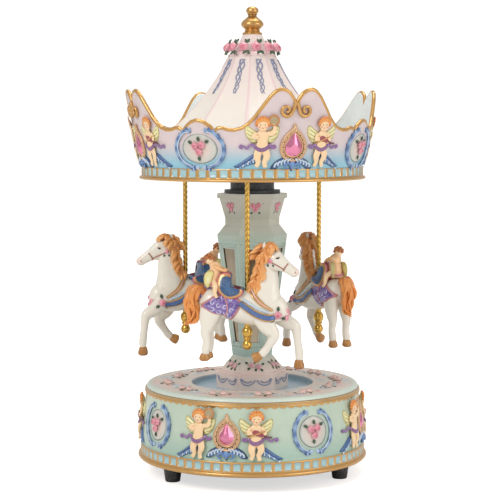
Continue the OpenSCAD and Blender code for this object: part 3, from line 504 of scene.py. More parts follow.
class Batch:
    """Gathers many small shapes, each with its own paint, into the points, quads and paint of one piece."""

    def __init__(self):
        self.points, self.quads, self.paint, self.count = [], [], [], 0

    def add(self, shape, paint):
        """Puts in one shape, (points, quads), with one paint or a paint for each point."""
        points, quads = shape
        self.points.append(points)
        self.quads.append(np.asarray(quads) + self.count)
        self.paint.append(np.broadcast_to(np.asarray(paint, float).reshape(-1, 4), (len(points), 4)))
        self.count += len(points)

    def arrays(self):
        """All shapes joined."""
        return np.concatenate(self.points), np.concatenate(self.quads), np.concatenate(self.paint)

    def drop_into(self, other, place):
        """Puts a copy of everything here into another batch, its points moved by the function place."""
        points, quads, paint = self.arrays()
        other.add((place(points), quads), paint)


def clean_quads(quads):
    """Quads as lists, with the doubled corner of a cap's triangle left out."""
    return [list(dict.fromkeys(q)) for q in np.asarray(quads).tolist()]


def batch_piece(name, batch, material, body, replaced=()):
    """Mesh piece from a batch."""
    points, quads, paint = batch.arrays()
    mesh_quads = clean_quads(quads)
    mesh = bpy.data.meshes.new(name)
    mesh.from_pydata(points * MM, [], mesh_quads)
    work = bmesh.new()
    work.from_mesh(mesh)
    bmesh.ops.recalc_face_normals(work, faces=work.faces)
    work.to_mesh(mesh)
    work.free()
    mesh.polygons.foreach_set("use_smooth", np.ones(len(mesh.polygons), bool))
    colours = mesh.attributes.new("paint", "FLOAT_COLOR", "POINT")
    colours.data.foreach_set("color", np.ascontiguousarray(paint, dtype=np.float32).ravel())
    mesh.materials.append(material)
    made = bpy.data.objects.new(name, mesh)
    bpy.context.collection.objects.link(made)
    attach(made, body)
    if replaced:
        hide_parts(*replaced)
    return made


def on_crown(centre, base_height):
    """Returns a function that bends flat points (right, out, up) onto the crown's wall round an angle."""
    def place(flat):
        height = base_height + flat[:, 2]
        radius = crown_radius(height)
        return ring_points(centre + flat[:, 0] / radius, radius - flat[:, 1], CROWN_Z + height)
    return place


def on_drum(centre, base_height):
    """The same onto the drum's wall: flat points are (right, out as minus Y, up)."""
    def place(flat):
        height = WALL_Z + base_height + flat[:, 2]
        radius = wall_radius(height)
        return ring_points(centre + flat[:, 0] / radius, radius - flat[:, 1], height)
    return place


def pressed(place, most):
    """Presses a flat relief towards its wall, the proudest parts hardest, so it stands out less than most."""
    def put(flat):
        out = np.maximum(-flat[:, 1], 0)
        y = np.where(flat[:, 1] < 0, -most * (1 - np.exp(-out / most)), flat[:, 1])
        return place(np.stack([flat[:, 0], y, flat[:, 2]], -1))
    return put


# Gold edging of the crown: a rounded bead along the wavy edge, with a curl under each hump.
edging = Batch()
edge_turn = np.linspace(0, 2 * np.pi, 960, endpoint=False)
edge_h = crown_edge(edge_turn)
edge_path = ring_points(edge_turn, crown_radius(edge_h) - 1.1, CROWN_Z + edge_h - 0.2)
edging.add(sweep(edge_path, 1.35, across=(0, 0, 1), sides=10, closed=True), GOLD)
for quarter in range(4):
    for side in (-1, 1):
        t = np.linspace(0, 1, 46)
        turn = 2.6 * np.pi * t
        size = 4.1 * (1 - 0.78 * t)
        curl = np.stack([side * (6.1 - size * np.cos(turn) * 1.0), -0.9 - 0.6 * t, 43.5 - size * np.sin(turn)], -1)
        lead = np.array([[side * 0.55, -0.6, 48.5], [side * 1.2, -0.8, 46.4]])
        stroke = spline(np.concatenate([lead, curl[::5]]), 60)
        shape, faces = sweep(stroke, np.linspace(1.25, 0.75, 60), sides=8)
        bend = on_crown(PEAK_ANGLE + quarter * np.pi / 2, 0)
        edging.add((bend(shape), faces), GOLD)
batch_piece("crown_edging", edging, resin_paint, "canopy")


# ---------------------------------------------------------------------------
# Tent roof: cream resin cast like draped cloth, pulled in between ten cords,
# pink along the cords as painted fold shade, with grey-blue ribbons, a ring of roses and a small dome.
# ---------------------------------------------------------------------------
roof_low, roof_high = box_mm("canopy_roof")
ROOF_TOP_Z = roof_high[2]
ROOF_R = 69.3
FOLDS = 10
CREAM = tint(236, 229, 220)
ROOF_PINK = tint(226, 186, 196)


def tent_profile(t):
    """Radius and height of the tent from its foot (t = 0) to the garland (t = 1)."""
    rise = ROOF_TOP_Z - 13 - (CROWN_Z + 16)
    return ROOF_R - (ROOF_R - 15.6) * t, CROWN_Z + 16 + rise * (0.8 * t + 0.2 * t ** 5)


def fold_depth(angle):
    """0 on the cords and 1 midway between them."""
    return np.abs(np.sin(angle * FOLDS / 2 + 0.4))


def roof_point(angle, t, lift=0.0):
    """Point on the draped tent, lift millimetres outside it."""
    r, z = tent_profile(t)
    sag = 0.075 * (1 - 0.3 * t) * smooth_step(t, 0, 0.2)
    r = r * (1 - sag * fold_depth(angle) ** 0.8) + lift
    return ring_points(angle, r, z + lift * 0.7)


def roof_surface():
    """Skirt and draped tent up to the garland, then the dome, carried round the axis."""
    turns = 480
    angle = np.linspace(0, 2 * np.pi, turns, endpoint=False)[None, :]
    t = np.linspace(0, 1, 60)[:, None]
    tent = roof_point(angle + 0 * t, t + 0 * angle)
    skirt = ring_points(angle, ROOF_R + 0 * angle, CROWN_Z + 4 + 0 * angle)
    dome_t = np.linspace(0.06, 1, 14)[:, None]
    dome_r = 15 - (15 - 6.2) * dome_t ** 0.8
    dome_z = ROOF_TOP_Z - 13 + 13 * dome_t ** 1.25
    dome = ring_points(angle, dome_r + 0 * angle, dome_z + 0 * angle)
    shut = ring_points(angle, 3 + 0 * angle, ROOF_TOP_Z + 0 * angle)
    points = np.concatenate([skirt, tent, dome, shut])
    # Painted shade: the cords are painted pink for the shading of the folds; the tent also turns pinker towards the
    # garland.
    cord = 1 - smooth_step(fold_depth(angle), 0.02, 0.2)
    darkening = 0.55 * cord + 0.28 * smooth_step(t, 0.4, 1.0)
    tent_paint = blend_paint(CREAM, ROOF_PINK, darkening)
    low_blue = (1 - smooth_step(t, 0.05, 0.45)) + 0 * angle
    tent_paint = blend_paint(tent_paint, tint(222, 232, 228), 0.8 * low_blue)
    dome_paint = blend_paint(tint(232, 200, 204), tint(240, 226, 222), dome_t + 0 * angle)
    ends = np.broadcast_to(CREAM, (1, turns, 4))
    paint = np.concatenate([ends, tent_paint, dome_paint, ends])
    return points, grid_quads(len(points), turns), paint


points, quads, paint = roof_surface()
roof_paint = painted("roof_resin", mottle=0.12, gloss=0.24)
piece("tent", points, quads, paint, roof_paint, "canopy", ["canopy_roof"])


def rose(size, petals=5, paint_in=None, paint_out=None):
    """Open rose seen from the front (-Y): a low dome whose petals overlap in a spiral, with its paint per point."""
    rows, turns = 7, 20
    s = np.linspace(0.04, 1, rows)[:, None]
    phi = np.linspace(0, 2 * np.pi, turns, endpoint=False)[None, :]
    frill = np.cos(petals * phi + 4.5 * s)
    r = size * s * (1 + 0.13 * frill * s)
    lift = size * (0.75 * (1 - s ** 2) + 0.13 * np.sin(petals * phi / 2 + 9 * s) ** 2)
    points = np.stack([r * np.cos(phi), -lift, r * np.sin(phi)], -1)
    dark = paint_in if paint_in is not None else tint(206, 70, 104)
    light = paint_out if paint_out is not None else tint(242, 178, 190)
    share = np.clip(0.25 + 0.75 * s + 0.35 * np.sin(petals * phi / 2 + 9 * s) ** 2 - 0.25, 0, 1)
    on = np.arange(turns)
    last = (rows - 1) * turns
    cap = np.stack([np.full(turns, rows * turns), (on + 1) % turns, on, on], -1)
    back = np.stack([np.full(turns, rows * turns + 1), last + on, last + (on + 1) % turns, last + (on + 1) % turns], -1)
    points = np.concatenate([points.reshape(-1, 3), [[0, -size * 0.75, 0], [0, 0.3 * size, 0]]])
    paint = np.concatenate([blend_paint(dark, light, share).reshape(-1, 4), dark[None], light[None]])
    return (points, np.concatenate([grid_quads(rows, turns), cap, back])), paint


def leaf(length, width, turn, at=(0, 0)):
    """Pointed leaf lying in the XZ plane, folded along its rib and arched outwards, turned and moved to its place."""
    t = np.linspace(0, 1, 8)[:, None]
    s = np.linspace(-1, 1, 5)[None, :]
    half = width * np.sin(np.pi * t ** 0.8) ** 0.9
    x, z = length * t + 0 * s, half * s
    y = -0.25 * width - 0.5 * width * np.sin(np.pi * t) * (1 - 0.6 * np.abs(s))
    ca, sa = np.cos(turn), np.sin(turn)
    points = np.stack([x * ca - z * sa + at[0], y + 0 * x, x * sa + z * ca + at[1]], -1)
    top = points.reshape(-1, 3)
    under = top + np.array([0, 0.35 * width, 0])
    quads = grid_quads(8, 5, wrap_columns=False)
    return np.concatenate([top, under]), np.concatenate([quads, quads[:, ::-1] + 40])


# Ring of roses with leaves above and below, cast on the roof at the foot of the dome.
garland = Batch()
LEAF = tint(52, 84, 60)
for k in range(12):
    angle = 2 * np.pi * (k + 0.3) / 12
    out_r, z = 16.1, ROOF_TOP_Z - 8.2

    def on_ring(flat, angle=angle, out_r=out_r, z=z):
        """Flat points bent round the garland."""
        return ring_points(angle + flat[:, 0] / out_r, out_r - flat[:, 1] - 0.35 * flat[:, 2], z + flat[:, 2])
    (bloom, bloom_quads), bloom_paint = rose(3.3)
    garland.add((on_ring(bloom), bloom_quads), bloom_paint)
    for turn, at in ((2.2, (2.6, 2.2)), (0.9, (2.2, 2.4)), (-0.9, (2.4, -2.4)), (-2.3, (2.4, -2.2))):
        shape, faces = leaf(3.4, 1.05, turn, at)
        garland.add((on_ring(shape), faces), LEAF)
batch_piece("rose_garland", garland, resin_paint, "canopy")

# Hanging ribbons, painted on raised lines in the middle of each gore.
ribbons = Batch()
RIBBON = tint(134, 142, 172)
for k in range(FOLDS):
    middle = (np.pi * (2 * k + 1) - 0.8) / FOLDS
    s = np.linspace(0, 1, 40)
    for phase, wide in ((0.0, 2.0), (2.1, 1.7), (4.0, 1.2)):
        across = wide * np.sin(3.2 * np.pi * s + phase) * (1.2 - 0.5 * s)
        t = 0.97 - 0.26 * s
        radius = tent_profile(t)[0]
        path = roof_point(middle + across / radius, t, 0.12)
        ribbons.add(sweep(path, 0.5 - 0.26 * s, across=(0, 0, 1), sides=6), RIBBON)
batch_piece("roof_ribbons", ribbons, roof_paint, "canopy")


# ---------------------------------------------------------------------------
# Finial: turned knob in antique gold, pegged into the top of the roof.
# ---------------------------------------------------------------------------
finial_low, finial_high = box_mm("roof_finial")


def finial_surface():
    """Stacked rings, a bulb, a neck and a round knob, as one section carried round the axis."""
    z0 = ROOF_TOP_Z
    stops = np.array([[6.2, 0], [6.5, 0.6], [6.0, 1.3], [4.7, 1.8], [5.2, 2.5], [4.5, 3.1], [5.4, 4.0], [6.9, 5.6],
                      [7.2, 7.0], [6.2, 8.8], [4.2, 10.4], [2.9, 11.6], [2.7, 12.4], [3.3, 12.9], [3.0, 13.4],
                      [3.5, 14.0], [4.0, 15.0], [3.6, 16.6], [2.2, 17.7], [0.9, 17.95], [0.05, 18.0]])
    section = spline(stops, 90)
    angle = np.linspace(0, 2 * np.pi, 64, endpoint=False)[None, :]
    radius = np.maximum(section[:, :1], 0.02)
    darkening = blend_paint(GOLD, GOLD_DARK, 0.7 * smooth_step(5.2 - section[:, 0], 0, 3) * (section[:, 1] < 13))
    paint = np.broadcast_to(darkening[:, None, :], (90, 64, 4))
    return ring_points(angle, radius + 0 * angle, z0 + section[:, 1:] + 0 * angle), grid_quads(90, 64), paint


points, quads, paint = finial_surface()
gold_paint = painted("antique_gold", mottle=0.55, grain=700, gloss=0.2, coat=0.2, leaf=0.9)
piece("finial", points, quads, paint, gold_paint, "canopy", ["roof_finial"])


# ---------------------------------------------------------------------------
# Poles: brass rods twisted like rope, screwed up through the canopy plate,
# with a polished two-ball nut under each horse.
# ---------------------------------------------------------------------------
def metal(name, colour, rough, tarnish_and_reflection=0.15, scale=400):
    """Solid metal with a fine clouding that shifts its colour and gloss: tarnish, and on the mirror painted reflection.
    """
    mat = bpy.data.materials.new(name)
    mat.use_nodes = True
    nodes, links = mat.node_tree.nodes, mat.node_tree.links
    shader = nodes["Principled BSDF"]
    where = nodes.new("ShaderNodeTexCoord")
    noise = nodes.new("ShaderNodeTexNoise")
    noise.inputs["Scale"].default_value = scale
    noise.inputs["Detail"].default_value = 5
    links.new(where.outputs["Object"], noise.inputs["Vector"])
    ramp = nodes.new("ShaderNodeValToRGB")
    ramp.color_ramp.elements[0].position = 0.3
    ramp.color_ramp.elements[1].position = 0.75
    ramp.color_ramp.elements[0].color = [c * (1 - tarnish_and_reflection) for c in colour[:3]] + [1]
    ramp.color_ramp.elements[1].color = list(colour[:3]) + [1]
    links.new(noise.outputs["Fac"], ramp.inputs["Fac"])
    links.new(ramp.outputs["Color"], shader.inputs["Base Color"])
    gloss = nodes.new("ShaderNodeMath")
    gloss.operation = "MULTIPLY_ADD"
    gloss.inputs[1].default_value = 0.12
    gloss.inputs[2].default_value = rough
    links.new(noise.outputs["Fac"], gloss.inputs[0])
    links.new(gloss.outputs[0], shader.inputs["Roughness"])
    shader.inputs["Metallic"].default_value = 1
    return mat


brass = metal("polished_brass", tint(222, 178, 92), 0.16)
POLE_SPOTS = []
for number in (1, 2, 3):
    pole_low, pole_high = box_mm("pole_%d" % number)
    centre = (pole_low + pole_high) / 2
    POLE_SPOTS.append((centre[0], centre[1]))
    z = np.arange(pole_low[2], pole_high[2], 0.42)[:, None]
    phi = np.linspace(0, 2 * np.pi, 18, endpoint=False)[None, :]
    strands = np.abs(np.cos(1.5 * (phi - z * 2 * np.pi / 10.5)))
    radius = 1.18 + 0.42 * strands
    points = np.stack([centre[0] + radius * np.cos(phi), centre[1] + radius * np.sin(phi), z + 0 * phi], -1)
    piece("twisted_pole_%d" % number, points, grid_quads(len(z), 18), GOLD, brass, "canopy",
          ["pole_%d" % number])
    nut_low, nut_high = box_mm("pole_ball_nut_%d" % number)
    stops = np.array([[0.3, 0], [1.6, 0.35], [2.8, 1.7], [3.1, 3.1], [2.6, 4.9], [1.9, 6.0], [2.5, 6.7], [2.6, 7.3],
                      [2.2, 7.9], [2.9, 9.1], [3.4, 11.0], [3.0, 13.0], [1.9, 14.4], [1.8, 15.4], [1.8, 16.0],
                      [1.8, 16.6], [1.8, 16.8]])
    section = spline(stops, 60)
    phi = np.linspace(0, 2 * np.pi, 32, endpoint=False)[None, :]
    radius = section[:, :1] + 0 * phi
    points = np.stack([centre[0] + radius * np.cos(phi), centre[1] + radius * np.sin(phi),
                       nut_low[2] + section[:, 1:] + 0 * phi], -1)
    piece("ball_nut_%d" % number, points, grid_quads(60, 32), GOLD, brass, "canopy",
          ["pole_ball_nut_%d" % number])


# ---------------------------------------------------------------------------
# Horses: cast resin, three alike, each slid on its pole and held up by the ball
# nut. White glaze; copper mane and tail; blue saddle, violet cloth, gold reins.
# ---------------------------------------------------------------------------
def limb(stops, count=44, sides=20):
    """Closed tube through stops (x, y, z, half width seen from the side, half thickness), rings along a spline."""
    line = spline(stops, count)
    wide = np.maximum(line[:, 3], 0.15)
    return sweep(line[:, :3], wide, across=(0, 1, 0), sides=sides, flat=np.maximum(line[:, 4], 0.15) / wide)


def ball(centre, size, turn=0.0, rows=10, turns=16):
    """Ellipsoid with half sizes (x, y, z), leaned by turn radians in the XZ plane."""
    s = np.linspace(0.04, np.pi - 0.04, rows)[:, None]
    phi = np.linspace(0, 2 * np.pi, turns, endpoint=False)[None, :]
    unit = np.stack([np.sin(s) * np.cos(phi), np.sin(s) * np.sin(phi), np.cos(s) + 0 * phi], -1).reshape(-1, 3)
    unit = np.concatenate([unit, [[0, 0, 1], [0, 0, -1]]]) * np.asarray(size, float)
    ca, sa = np.cos(turn), np.sin(turn)
    leaned = np.stack([unit[:, 0] * ca + unit[:, 2] * sa, unit[:, 1], unit[:, 2] * ca - unit[:, 0] * sa], -1)
    on = np.arange(turns)
    last = (rows - 1) * turns
    top = np.stack([np.full(turns, rows * turns), on, (on + 1) % turns, (on + 1) % turns], -1)
    low = np.stack([np.full(turns, rows * turns + 1), last + (on + 1) % turns, last + on, last + on], -1)
    return leaned + np.asarray(centre, float), np.concatenate([grid_quads(rows, turns)[:, ::-1], top, low])


def fuse(shapes, voxel, rounds):
    """Melts closed shapes into one skin by voxel remeshing, then smooths it; gives points, quads and normals."""
    batch = Batch()
    for shape in shapes:
        batch.add(shape, (0, 0, 0, 0))
    points, quads, _ = batch.arrays()
    mesh = bpy.data.meshes.new("melt")
    mesh.from_pydata(points, [], clean_quads(quads))
    lump = bpy.data.objects.new("melt", mesh)
    bpy.context.collection.objects.link(lump)
    melt = lump.modifiers.new("melt", "REMESH")
    melt.mode = "VOXEL"
    melt.voxel_size = voxel
    soften = lump.modifiers.new("soften", "SMOOTH")
    soften.factor = 0.5
    soften.iterations = rounds
    skin = bpy.data.meshes.new_from_object(lump.evaluated_get(bpy.context.evaluated_depsgraph_get()))
    points = np.empty(len(skin.vertices) * 3)
    skin.vertices.foreach_get("co", points)
    normals = np.empty(len(skin.vertices) * 3)
    skin.vertices.foreach_get("normal", normals)
    corners = np.empty(len(skin.loops), int)
    skin.loops.foreach_get("vertex_index", corners)
    bpy.data.objects.remove(lump)
    bpy.data.meshes.remove(mesh)
    bpy.data.meshes.remove(skin)
    return points.reshape(-1, 3), corners.reshape(-1, 4), normals.reshape(-1, 3)


def hollows(points, quads, normals, rounds=4):
    """0 on flat and rounded skin, up to 1 in its creases: how far each point lies below its neighbours' mean."""
    start = quads.ravel()
    end = np.roll(quads, -1, axis=1).ravel()
    count = np.bincount(start, minlength=len(points)) + 1e-9
    mean = np.stack([np.bincount(start, points[end, k], len(points)) for k in range(3)], -1) / count[:, None]
    depth = ((mean - points) * normals).sum(1)
    for _ in range(rounds):
        depth = 0.4 * depth + 0.6 * np.bincount(start, depth[end], len(points)) / count
    return np.clip(depth / 0.035, 0, 1)


def cushion(outline, height, paint_of, count=56, rows=7, at=(0, 0), power=3.0):
    """Puffed shape over a closed outline in the XZ plane: rings shrink to its middle while it swells towards -Y."""
    edge = spline(np.asarray(outline, float) + np.asarray(at, float), count, closed=True)
    middle = edge.mean(0)
    s = np.linspace(1, 0.06, rows)[:, None, None]
    flat = middle + s * (edge - middle)
    lift = height * (1 - s[..., 0] ** power) + 0 * flat[..., 0]
    front = np.stack([flat[..., 0], -lift, flat[..., 1]], -1).reshape(-1, 3)
    points = np.concatenate([front, [[middle[0], -height, middle[1]], [middle[0], 0.8, middle[1]]]])
    on = np.arange(count)
    inner = (rows - 1) * count
    cap = np.stack([np.full(count, rows * count), inner + on, inner + (on + 1) % count, inner + (on + 1) % count], -1)
    back = np.stack([np.full(count, rows * count + 1), (on + 1) % count, on, on], -1)
    share = np.concatenate([np.broadcast_to(s[:, :, 0], (rows, count)).ravel(), [0, 1]])
    return (points, np.concatenate([grid_quads(rows, count), cap, back])), paint_of(share)


TRUNK = np.array([[-29.5, 0, 13, 2, 2], [-26, 0, 12.5, 7.0, 6.2], [-20, 0, 12, 8.8, 7.9], [-12, 0, 10.6, 9.2, 7.7],
                  [-3, 0, 9.3, 10.4, 7.8], [8, 0, 8.5, 11.2, 7.8], [17, 0, 7.8, 9.6, 6.8], [23, 0, 6.2, 6, 4.8],
                  [25.6, 0, 5.6, 1.5, 1.5]])
NECK = [[9.5, 0, 2, 12.0, 7.6], [10.3, 0, 9, 11.4, 7.6], [10.6, 0, 15, 10.6, 7.1], [10.9, 0, 21, 9.3, 5.9],
        [12, 0, 28, 7.6, 4.6], [12.6, -0.2, 36, 6.2, 3.7], [13.6, -0.5, 42, 4.8, 3.1]]
HEAD = [[11.6, 0.2, 44.5, 2.0, 1.8], [13.4, -0.5, 42, 4.6, 3.2], [16.9, -1.8, 39.0, 6.3, 3.8],
        [20.6, -3.0, 36.9, 5.2, 3.3], [24.2, -4.3, 34.9, 3.9, 2.5], [27.6, -5.5, 32.6, 3.25, 2.25],
        [29.9, -6.3, 31.1, 3.1, 2.4], [31.3, -6.8, 30.1, 2.0, 1.7], [31.9, -7.0, 29.6, 0.4, 0.4]]
OUTER_FORELEG = [[9, -4, 5, 7, 3.5], [13.0, -5, -2.4, 5.6, 3.9], [16.9, -5.3, -7.0, 3.7, 3.3],
                 [16.0, -5.3, -10.4, 3.2, 2.8], [13.2, -5.2, -14.8, 2.5, 2.3], [10.4, -5.2, -18.6, 2.7, 2.4],
                 [8.4, -5.2, -20.2, 2.3, 2.2]]
OUTER_FOREHOOF = [[8.8, -5.2, -19.9, 2.2, 2.1], [6.9, -5.2, -21.2, 3.0, 2.8], [4.6, -5.2, -22.3, 3.3, 3.0],
                  [3.9, -5.2, -22.6, 2.7, 2.4]]
INNER_FORELEG = [[16, 4, 6, 6, 3.5], [23, 4.6, 0.4, 4.8, 3.8], [29.0, 4.9, -3.0, 3.8, 3.2], [30.5, 5, -6.2, 3.1, 2.8],
                 [31.3, 5, -13, 2.5, 2.3], [32.3, 5, -21.0, 2.7, 2.5], [32.2, 5, -24.8, 2.3, 2.3]]
INNER_FOREHOOF = [[32.2, 5, -24.4, 2.3, 2.3], [32.1, 5, -26.4, 3.0, 2.8], [32.2, 5, -29.0, 3.4, 3.2],
                  [32.2, 5, -30.2, 2.3, 2.2]]


def hind_leg(x, side):
    """Stops of one hind leg: broad thigh, hock, thin cannon and fetlock."""
    return [[x + 3.5, side * 3.8, 9, 7.2, 4.2], [x + 1.6, side * 4.8, 2.5, 6.0, 4.0], [x + 0.6, side * 5, -3, 4.2, 3.3],
            [x - 0.4, side * 5, -7, 3.2, 2.7], [x + 0.4, side * 5, -12, 2.5, 2.3], [x - 0.2, side * 5, -17, 2.7, 2.5],
            [x - 0.6, side * 5, -20.0, 2.3, 2.3]]


def hind_hoof(x, side):
    """Stops of one hind hoof."""
    return [[x - 0.6, side * 5, -19.6, 2.3, 2.3], [x - 0.8, side * 5, -21.2, 3.0, 2.8],
            [x - 1.0, side * 5, -23.0, 3.4, 3.1], [x - 1.0, side * 5, -24.1, 2.3, 2.2]]


flesh = [limb(TRUNK, 60, 28), limb(NECK, 50, 28), limb(HEAD, 50, 24), limb(OUTER_FORELEG), limb(INNER_FORELEG),
         limb(hind_leg(-25.4, -1)), limb(hind_leg(-24.0, 1))]
flesh += [limb([[11.5, side * 1.9 - 0.4, 44, 1.6, 1.2], [10.7, side * 2.5 - 0.4, 47.6, 1.3, 0.9],
                [10.6, side * 2.5 - 0.4, 50, 0.3, 0.3]], 16, 12) for side in (-1, 1)]
hooves = [limb(stops, 16, 16) for stops in (OUTER_FOREHOOF, INNER_FOREHOOF, hind_hoof(-25.4, -1), hind_hoof(-24.0, 1))]
skin_points, skin_quads, skin_normals = fuse(flesh, 0.5, 6)

WHITE_GLAZE = tint(232, 226, 214)
# Painted shade: the white glaze darkens to grey-brown in the skin's creases, where shadow falls.
shadow_wash = hollows(skin_points, skin_quads, skin_normals)
skin_paint = blend_paint(WHITE_GLAZE, tint(188, 172, 150), 0.85 * shadow_wash)
muzzle = smooth_step(skin_points[:, 0], 27, 31.5) * (skin_points[:, 2] > 27)
skin_paint = blend_paint(skin_paint, tint(232, 214, 204), 0.8 * muzzle)

CELL = 0.9


def side_map(side):
    """Outermost skin, seen from one side, on a grid of cells in the XZ plane; empty cells lie on the middle plane."""
    column = ((skin_points[:, 0] + 50) / CELL).astype(int)
    row = ((skin_points[:, 2] + 40) / CELL).astype(int)
    outermost = np.full((110, 110), -99.0)
    np.maximum.at(outermost, (column, row), side * skin_points[:, 1])
    return np.where(outermost < -50, 0, outermost)


def flank(side):
    """Returns a function that lays flat points (x, out as minus Y, z) on the skin of one side of the horse."""
    outermost = side_map(side)

    def place(flat):
        column, row = (flat[:, 0] + 50) / CELL - 0.5, (flat[:, 2] + 40) / CELL - 0.5
        c, r = np.clip(column.astype(int), 0, 108), np.clip(row.astype(int), 0, 108)
        f, g = column - c, row - r
        y = (outermost[c, r] * (1 - f) * (1 - g) + outermost[c + 1, r] * f * (1 - g)
             + outermost[c, r + 1] * (1 - f) * g + outermost[c + 1, r + 1] * f * g)
        return np.stack([flat[:, 0], side * (y - flat[:, 1]), flat[:, 2]], -1)
    return place


COPPER = tint(224, 146, 72)
COPPER_DARK = tint(166, 92, 42)
COPPER_PALE = tint(246, 196, 130)
HOOF = tint(190, 134, 66)
SADDLE_BLUE = tint(66, 104, 148)
TRIM_PINK = tint(214, 120, 130)
CLOTH_VIOLET = tint(122, 102, 170)
SKIN = tint(248, 214, 170)
HAIR = tint(234, 152, 72)
WING = tint(240, 236, 184)

tack = Batch()
for shape in hooves:
    share = np.clip((shape[0][:, 2] + 31) / 14, 0, 1)
    tack.add(shape, blend_paint(tint(160, 104, 46), HOOF, share))


def lock(stops, width, paint_root=COPPER_DARK, paint_tip=COPPER_PALE, twist=0.0, count=20):
    """Tapered, slightly flattened lock of hair along a spline, darker at its root and paler towards the tip."""
    path = spline(stops, count)
    t = np.linspace(0, 1, count)
    path = path + np.stack([0.5 * np.sin(9 * t + twist), 0.35 * np.cos(9 * t + twist), 0 * t], -1) * width
    shape = sweep(path, width * (0.35 + 0.65 * np.sin(np.pi * (0.15 + 0.8 * t)) ** 0.8) * (1 - 0.75 * t ** 4),
                  across=(0, 1, 0), sides=8, flat=0.75)
    share = np.concatenate([np.repeat(t, 8), [0, 1]])
    mid = blend_paint(paint_root, COPPER, np.clip(share * 2.4, 0, 1))
    return shape, blend_paint(mid, paint_tip, np.clip(share * 2 - 0.9, 0, 1) * 0.8)


rng = np.random.default_rng(7)
crest = spline([[12.5, 47.5], [9.8, 44.5], [7.2, 40], [5.9, 35], [4.6, 30], [3.0, 25.5], [0.8, 21.5]], 40)
for k, (x, z) in enumerate(crest[1:-1:2]):
    for side in (-1, 1):
        for lead in (0.0, 3.2):
            back = rng.uniform(2.8, 5.4) - lead * 0.9
            fall = rng.uniform(3.4, 6.2) + (2.5 if k > 6 else 0)
            spread = rng.uniform(1.8, 3.2) + 0.55 * lead
            stops = [[x + 2.6, side * 0.6, z + 0.4], [x + 1.0 + 0.5 * lead, side * (1.2 + 0.6 * spread), z + 0.7],
                     [x - 0.5 * back + 1.6 + lead, side * (spread + 0.5), z - 0.45 * fall],
                     [x - 0.8 * back + 1.2 + lead, side * (spread + 0.3), z - fall]]
            tack.add(*lock(stops, rng.uniform(1.2, 1.7), twist=rng.uniform(0, 6)))
for k in range(7):
    z = 46.5 - 1.25 * k
    x = np.interp(z, crest[::-1, 1], crest[::-1, 0])
    y = rng.uniform(-1.6, 1.6)
    stops = [[x + 1.5, y * 0.5, z], [x - 2.2, y, z + 1.2], [x - 5.2, y * 1.3, z + 0.1], [x - 7.6, y, z - 2.2]]
    tack.add(*lock(stops, 1.5, twist=rng.uniform(0, 6)))
for k in range(7):
    y = -2.4 + 0.8 * k
    stops = [[11.5, y * 0.5, 47.3], [14.4, y * 0.9 - 0.6, 48.8], [17.4, y * 1.1 - 1.2, 46.8], [19.4, y * 0.8 - 2.0, 44.0]]
    tack.add(*lock(stops, 1.2, twist=rng.uniform(0, 6), count=14))
tail_line = np.array([[-26.6, 0, 17.0], [-29.2, 0, 20.4], [-32.4, 0, 20.2], [-34.6, 0, 16.0], [-34.8, 0, 11.0],
                      [-33.4, 0, 6.0], [-33.8, 0, 1.0], [-36.4, 0, -2.4]])
for k in range(34):
    turn = 2 * np.pi * k / 34 + rng.uniform(-0.2, 0.2)
    ring = 1.0 if k % 3 else 0.45
    fat = np.array([0.5, 1.6, 2.8, 3.2, 3.2, 2.9, 2.2, 1.2]) * ring
    away = np.stack([np.cos(turn) * fat, np.sin(turn) * fat, 0.3 * np.sin(3 * turn) * fat], -1)
    wave = np.array([0, 0.4, 1, 1.2, 1.2, 1.2, 0.9, 0.5])[:, None] * rng.uniform(-1, 1, (8, 3))
    last = 8 if k % 2 else 6
    end = (tail_line + away + wave)[:last]
    end[-1] += [rng.uniform(-3.0, 1.5), rng.uniform(-0.8, 0.8), rng.uniform(-0.5, 2.0)]
    tack.add(*lock(end, rng.uniform(1.3, 1.7), twist=rng.uniform(0, 6), count=34,
                   paint_root=tint(196, 104, 40), paint_tip=tint(242, 152, 66)))

saddle_outline = [[-2.4, 20.6], [-5.2, 18.8], [-8.2, 19.4], [-10.4, 22.4], [-11.1, 26.4], [-10.0, 30.0], [-13.4, 31.2],
                  [-17.2, 29.8], [-18.9, 24.8], [-17.4, 18.6], [-12, 14.6], [-6.2, 15.2], [-2.6, 17.4]]


def saddle_paint(share):
    """Blue leather inside, a gold line, and a pink rolled edge."""
    inside = blend_paint(SADDLE_BLUE, tint(44, 78, 120), smooth_step(share, 0.1, 0.72))
    line = blend_paint(inside, GOLD, smooth_step(share, 0.74, 0.78))
    return blend_paint(line, TRIM_PINK, smooth_step(share, 0.86, 0.9))


for side in (-1, 1):
    (points, quads), paint = cushion(saddle_outline, 1.7, saddle_paint, count=90, rows=14, power=6)
    rise = smooth_step(points[:, 2], 20, 30)
    half = 7.4 - 2.6 * rise
    points[:, 1] = side * (half - points[:, 1])
    tack.add((points, quads), paint)
seat_path = spline([[-2.4, 0, 20.4], [-5.2, 0, 18.7], [-8.2, 0, 19.3], [-10.4, 0, 22.3], [-11.1, 0, 26.3],
                    [-10.6, 0, 29.6]], 40)
seat_half = np.interp(seat_path[:, 2], [19, 30], [7.8, 5.4])
seat = sweep(seat_path, 1.5, sides=16, flat=seat_half / 1.5)
tack.add(seat, SADDLE_BLUE)
back_path = spline([[-10.8, 0, 30.1], [-13.4, 0, 30.6], [-16.6, 0, 29.0], [-18.0, 0, 24.8], [-16.8, 0, 19.2]], 40)
back_half = np.interp(back_path[:, 2], [19, 30], [7.6, 5.2])
tack.add(sweep(back_path, 1.1, sides=16, flat=back_half / 1.1), tint(150, 72, 74))

cloth_outline = [[-28.6, 10.6], [-24, 14.4], [-19.4, 17.0], [-12, 17.4], [-4.4, 14.6], [-3.2, 11.6], [-6.2, 5.4],
                 [-10.4, 1.4], [-14.4, 4.2], [-20.6, 5.8], [-25, 8.2]]


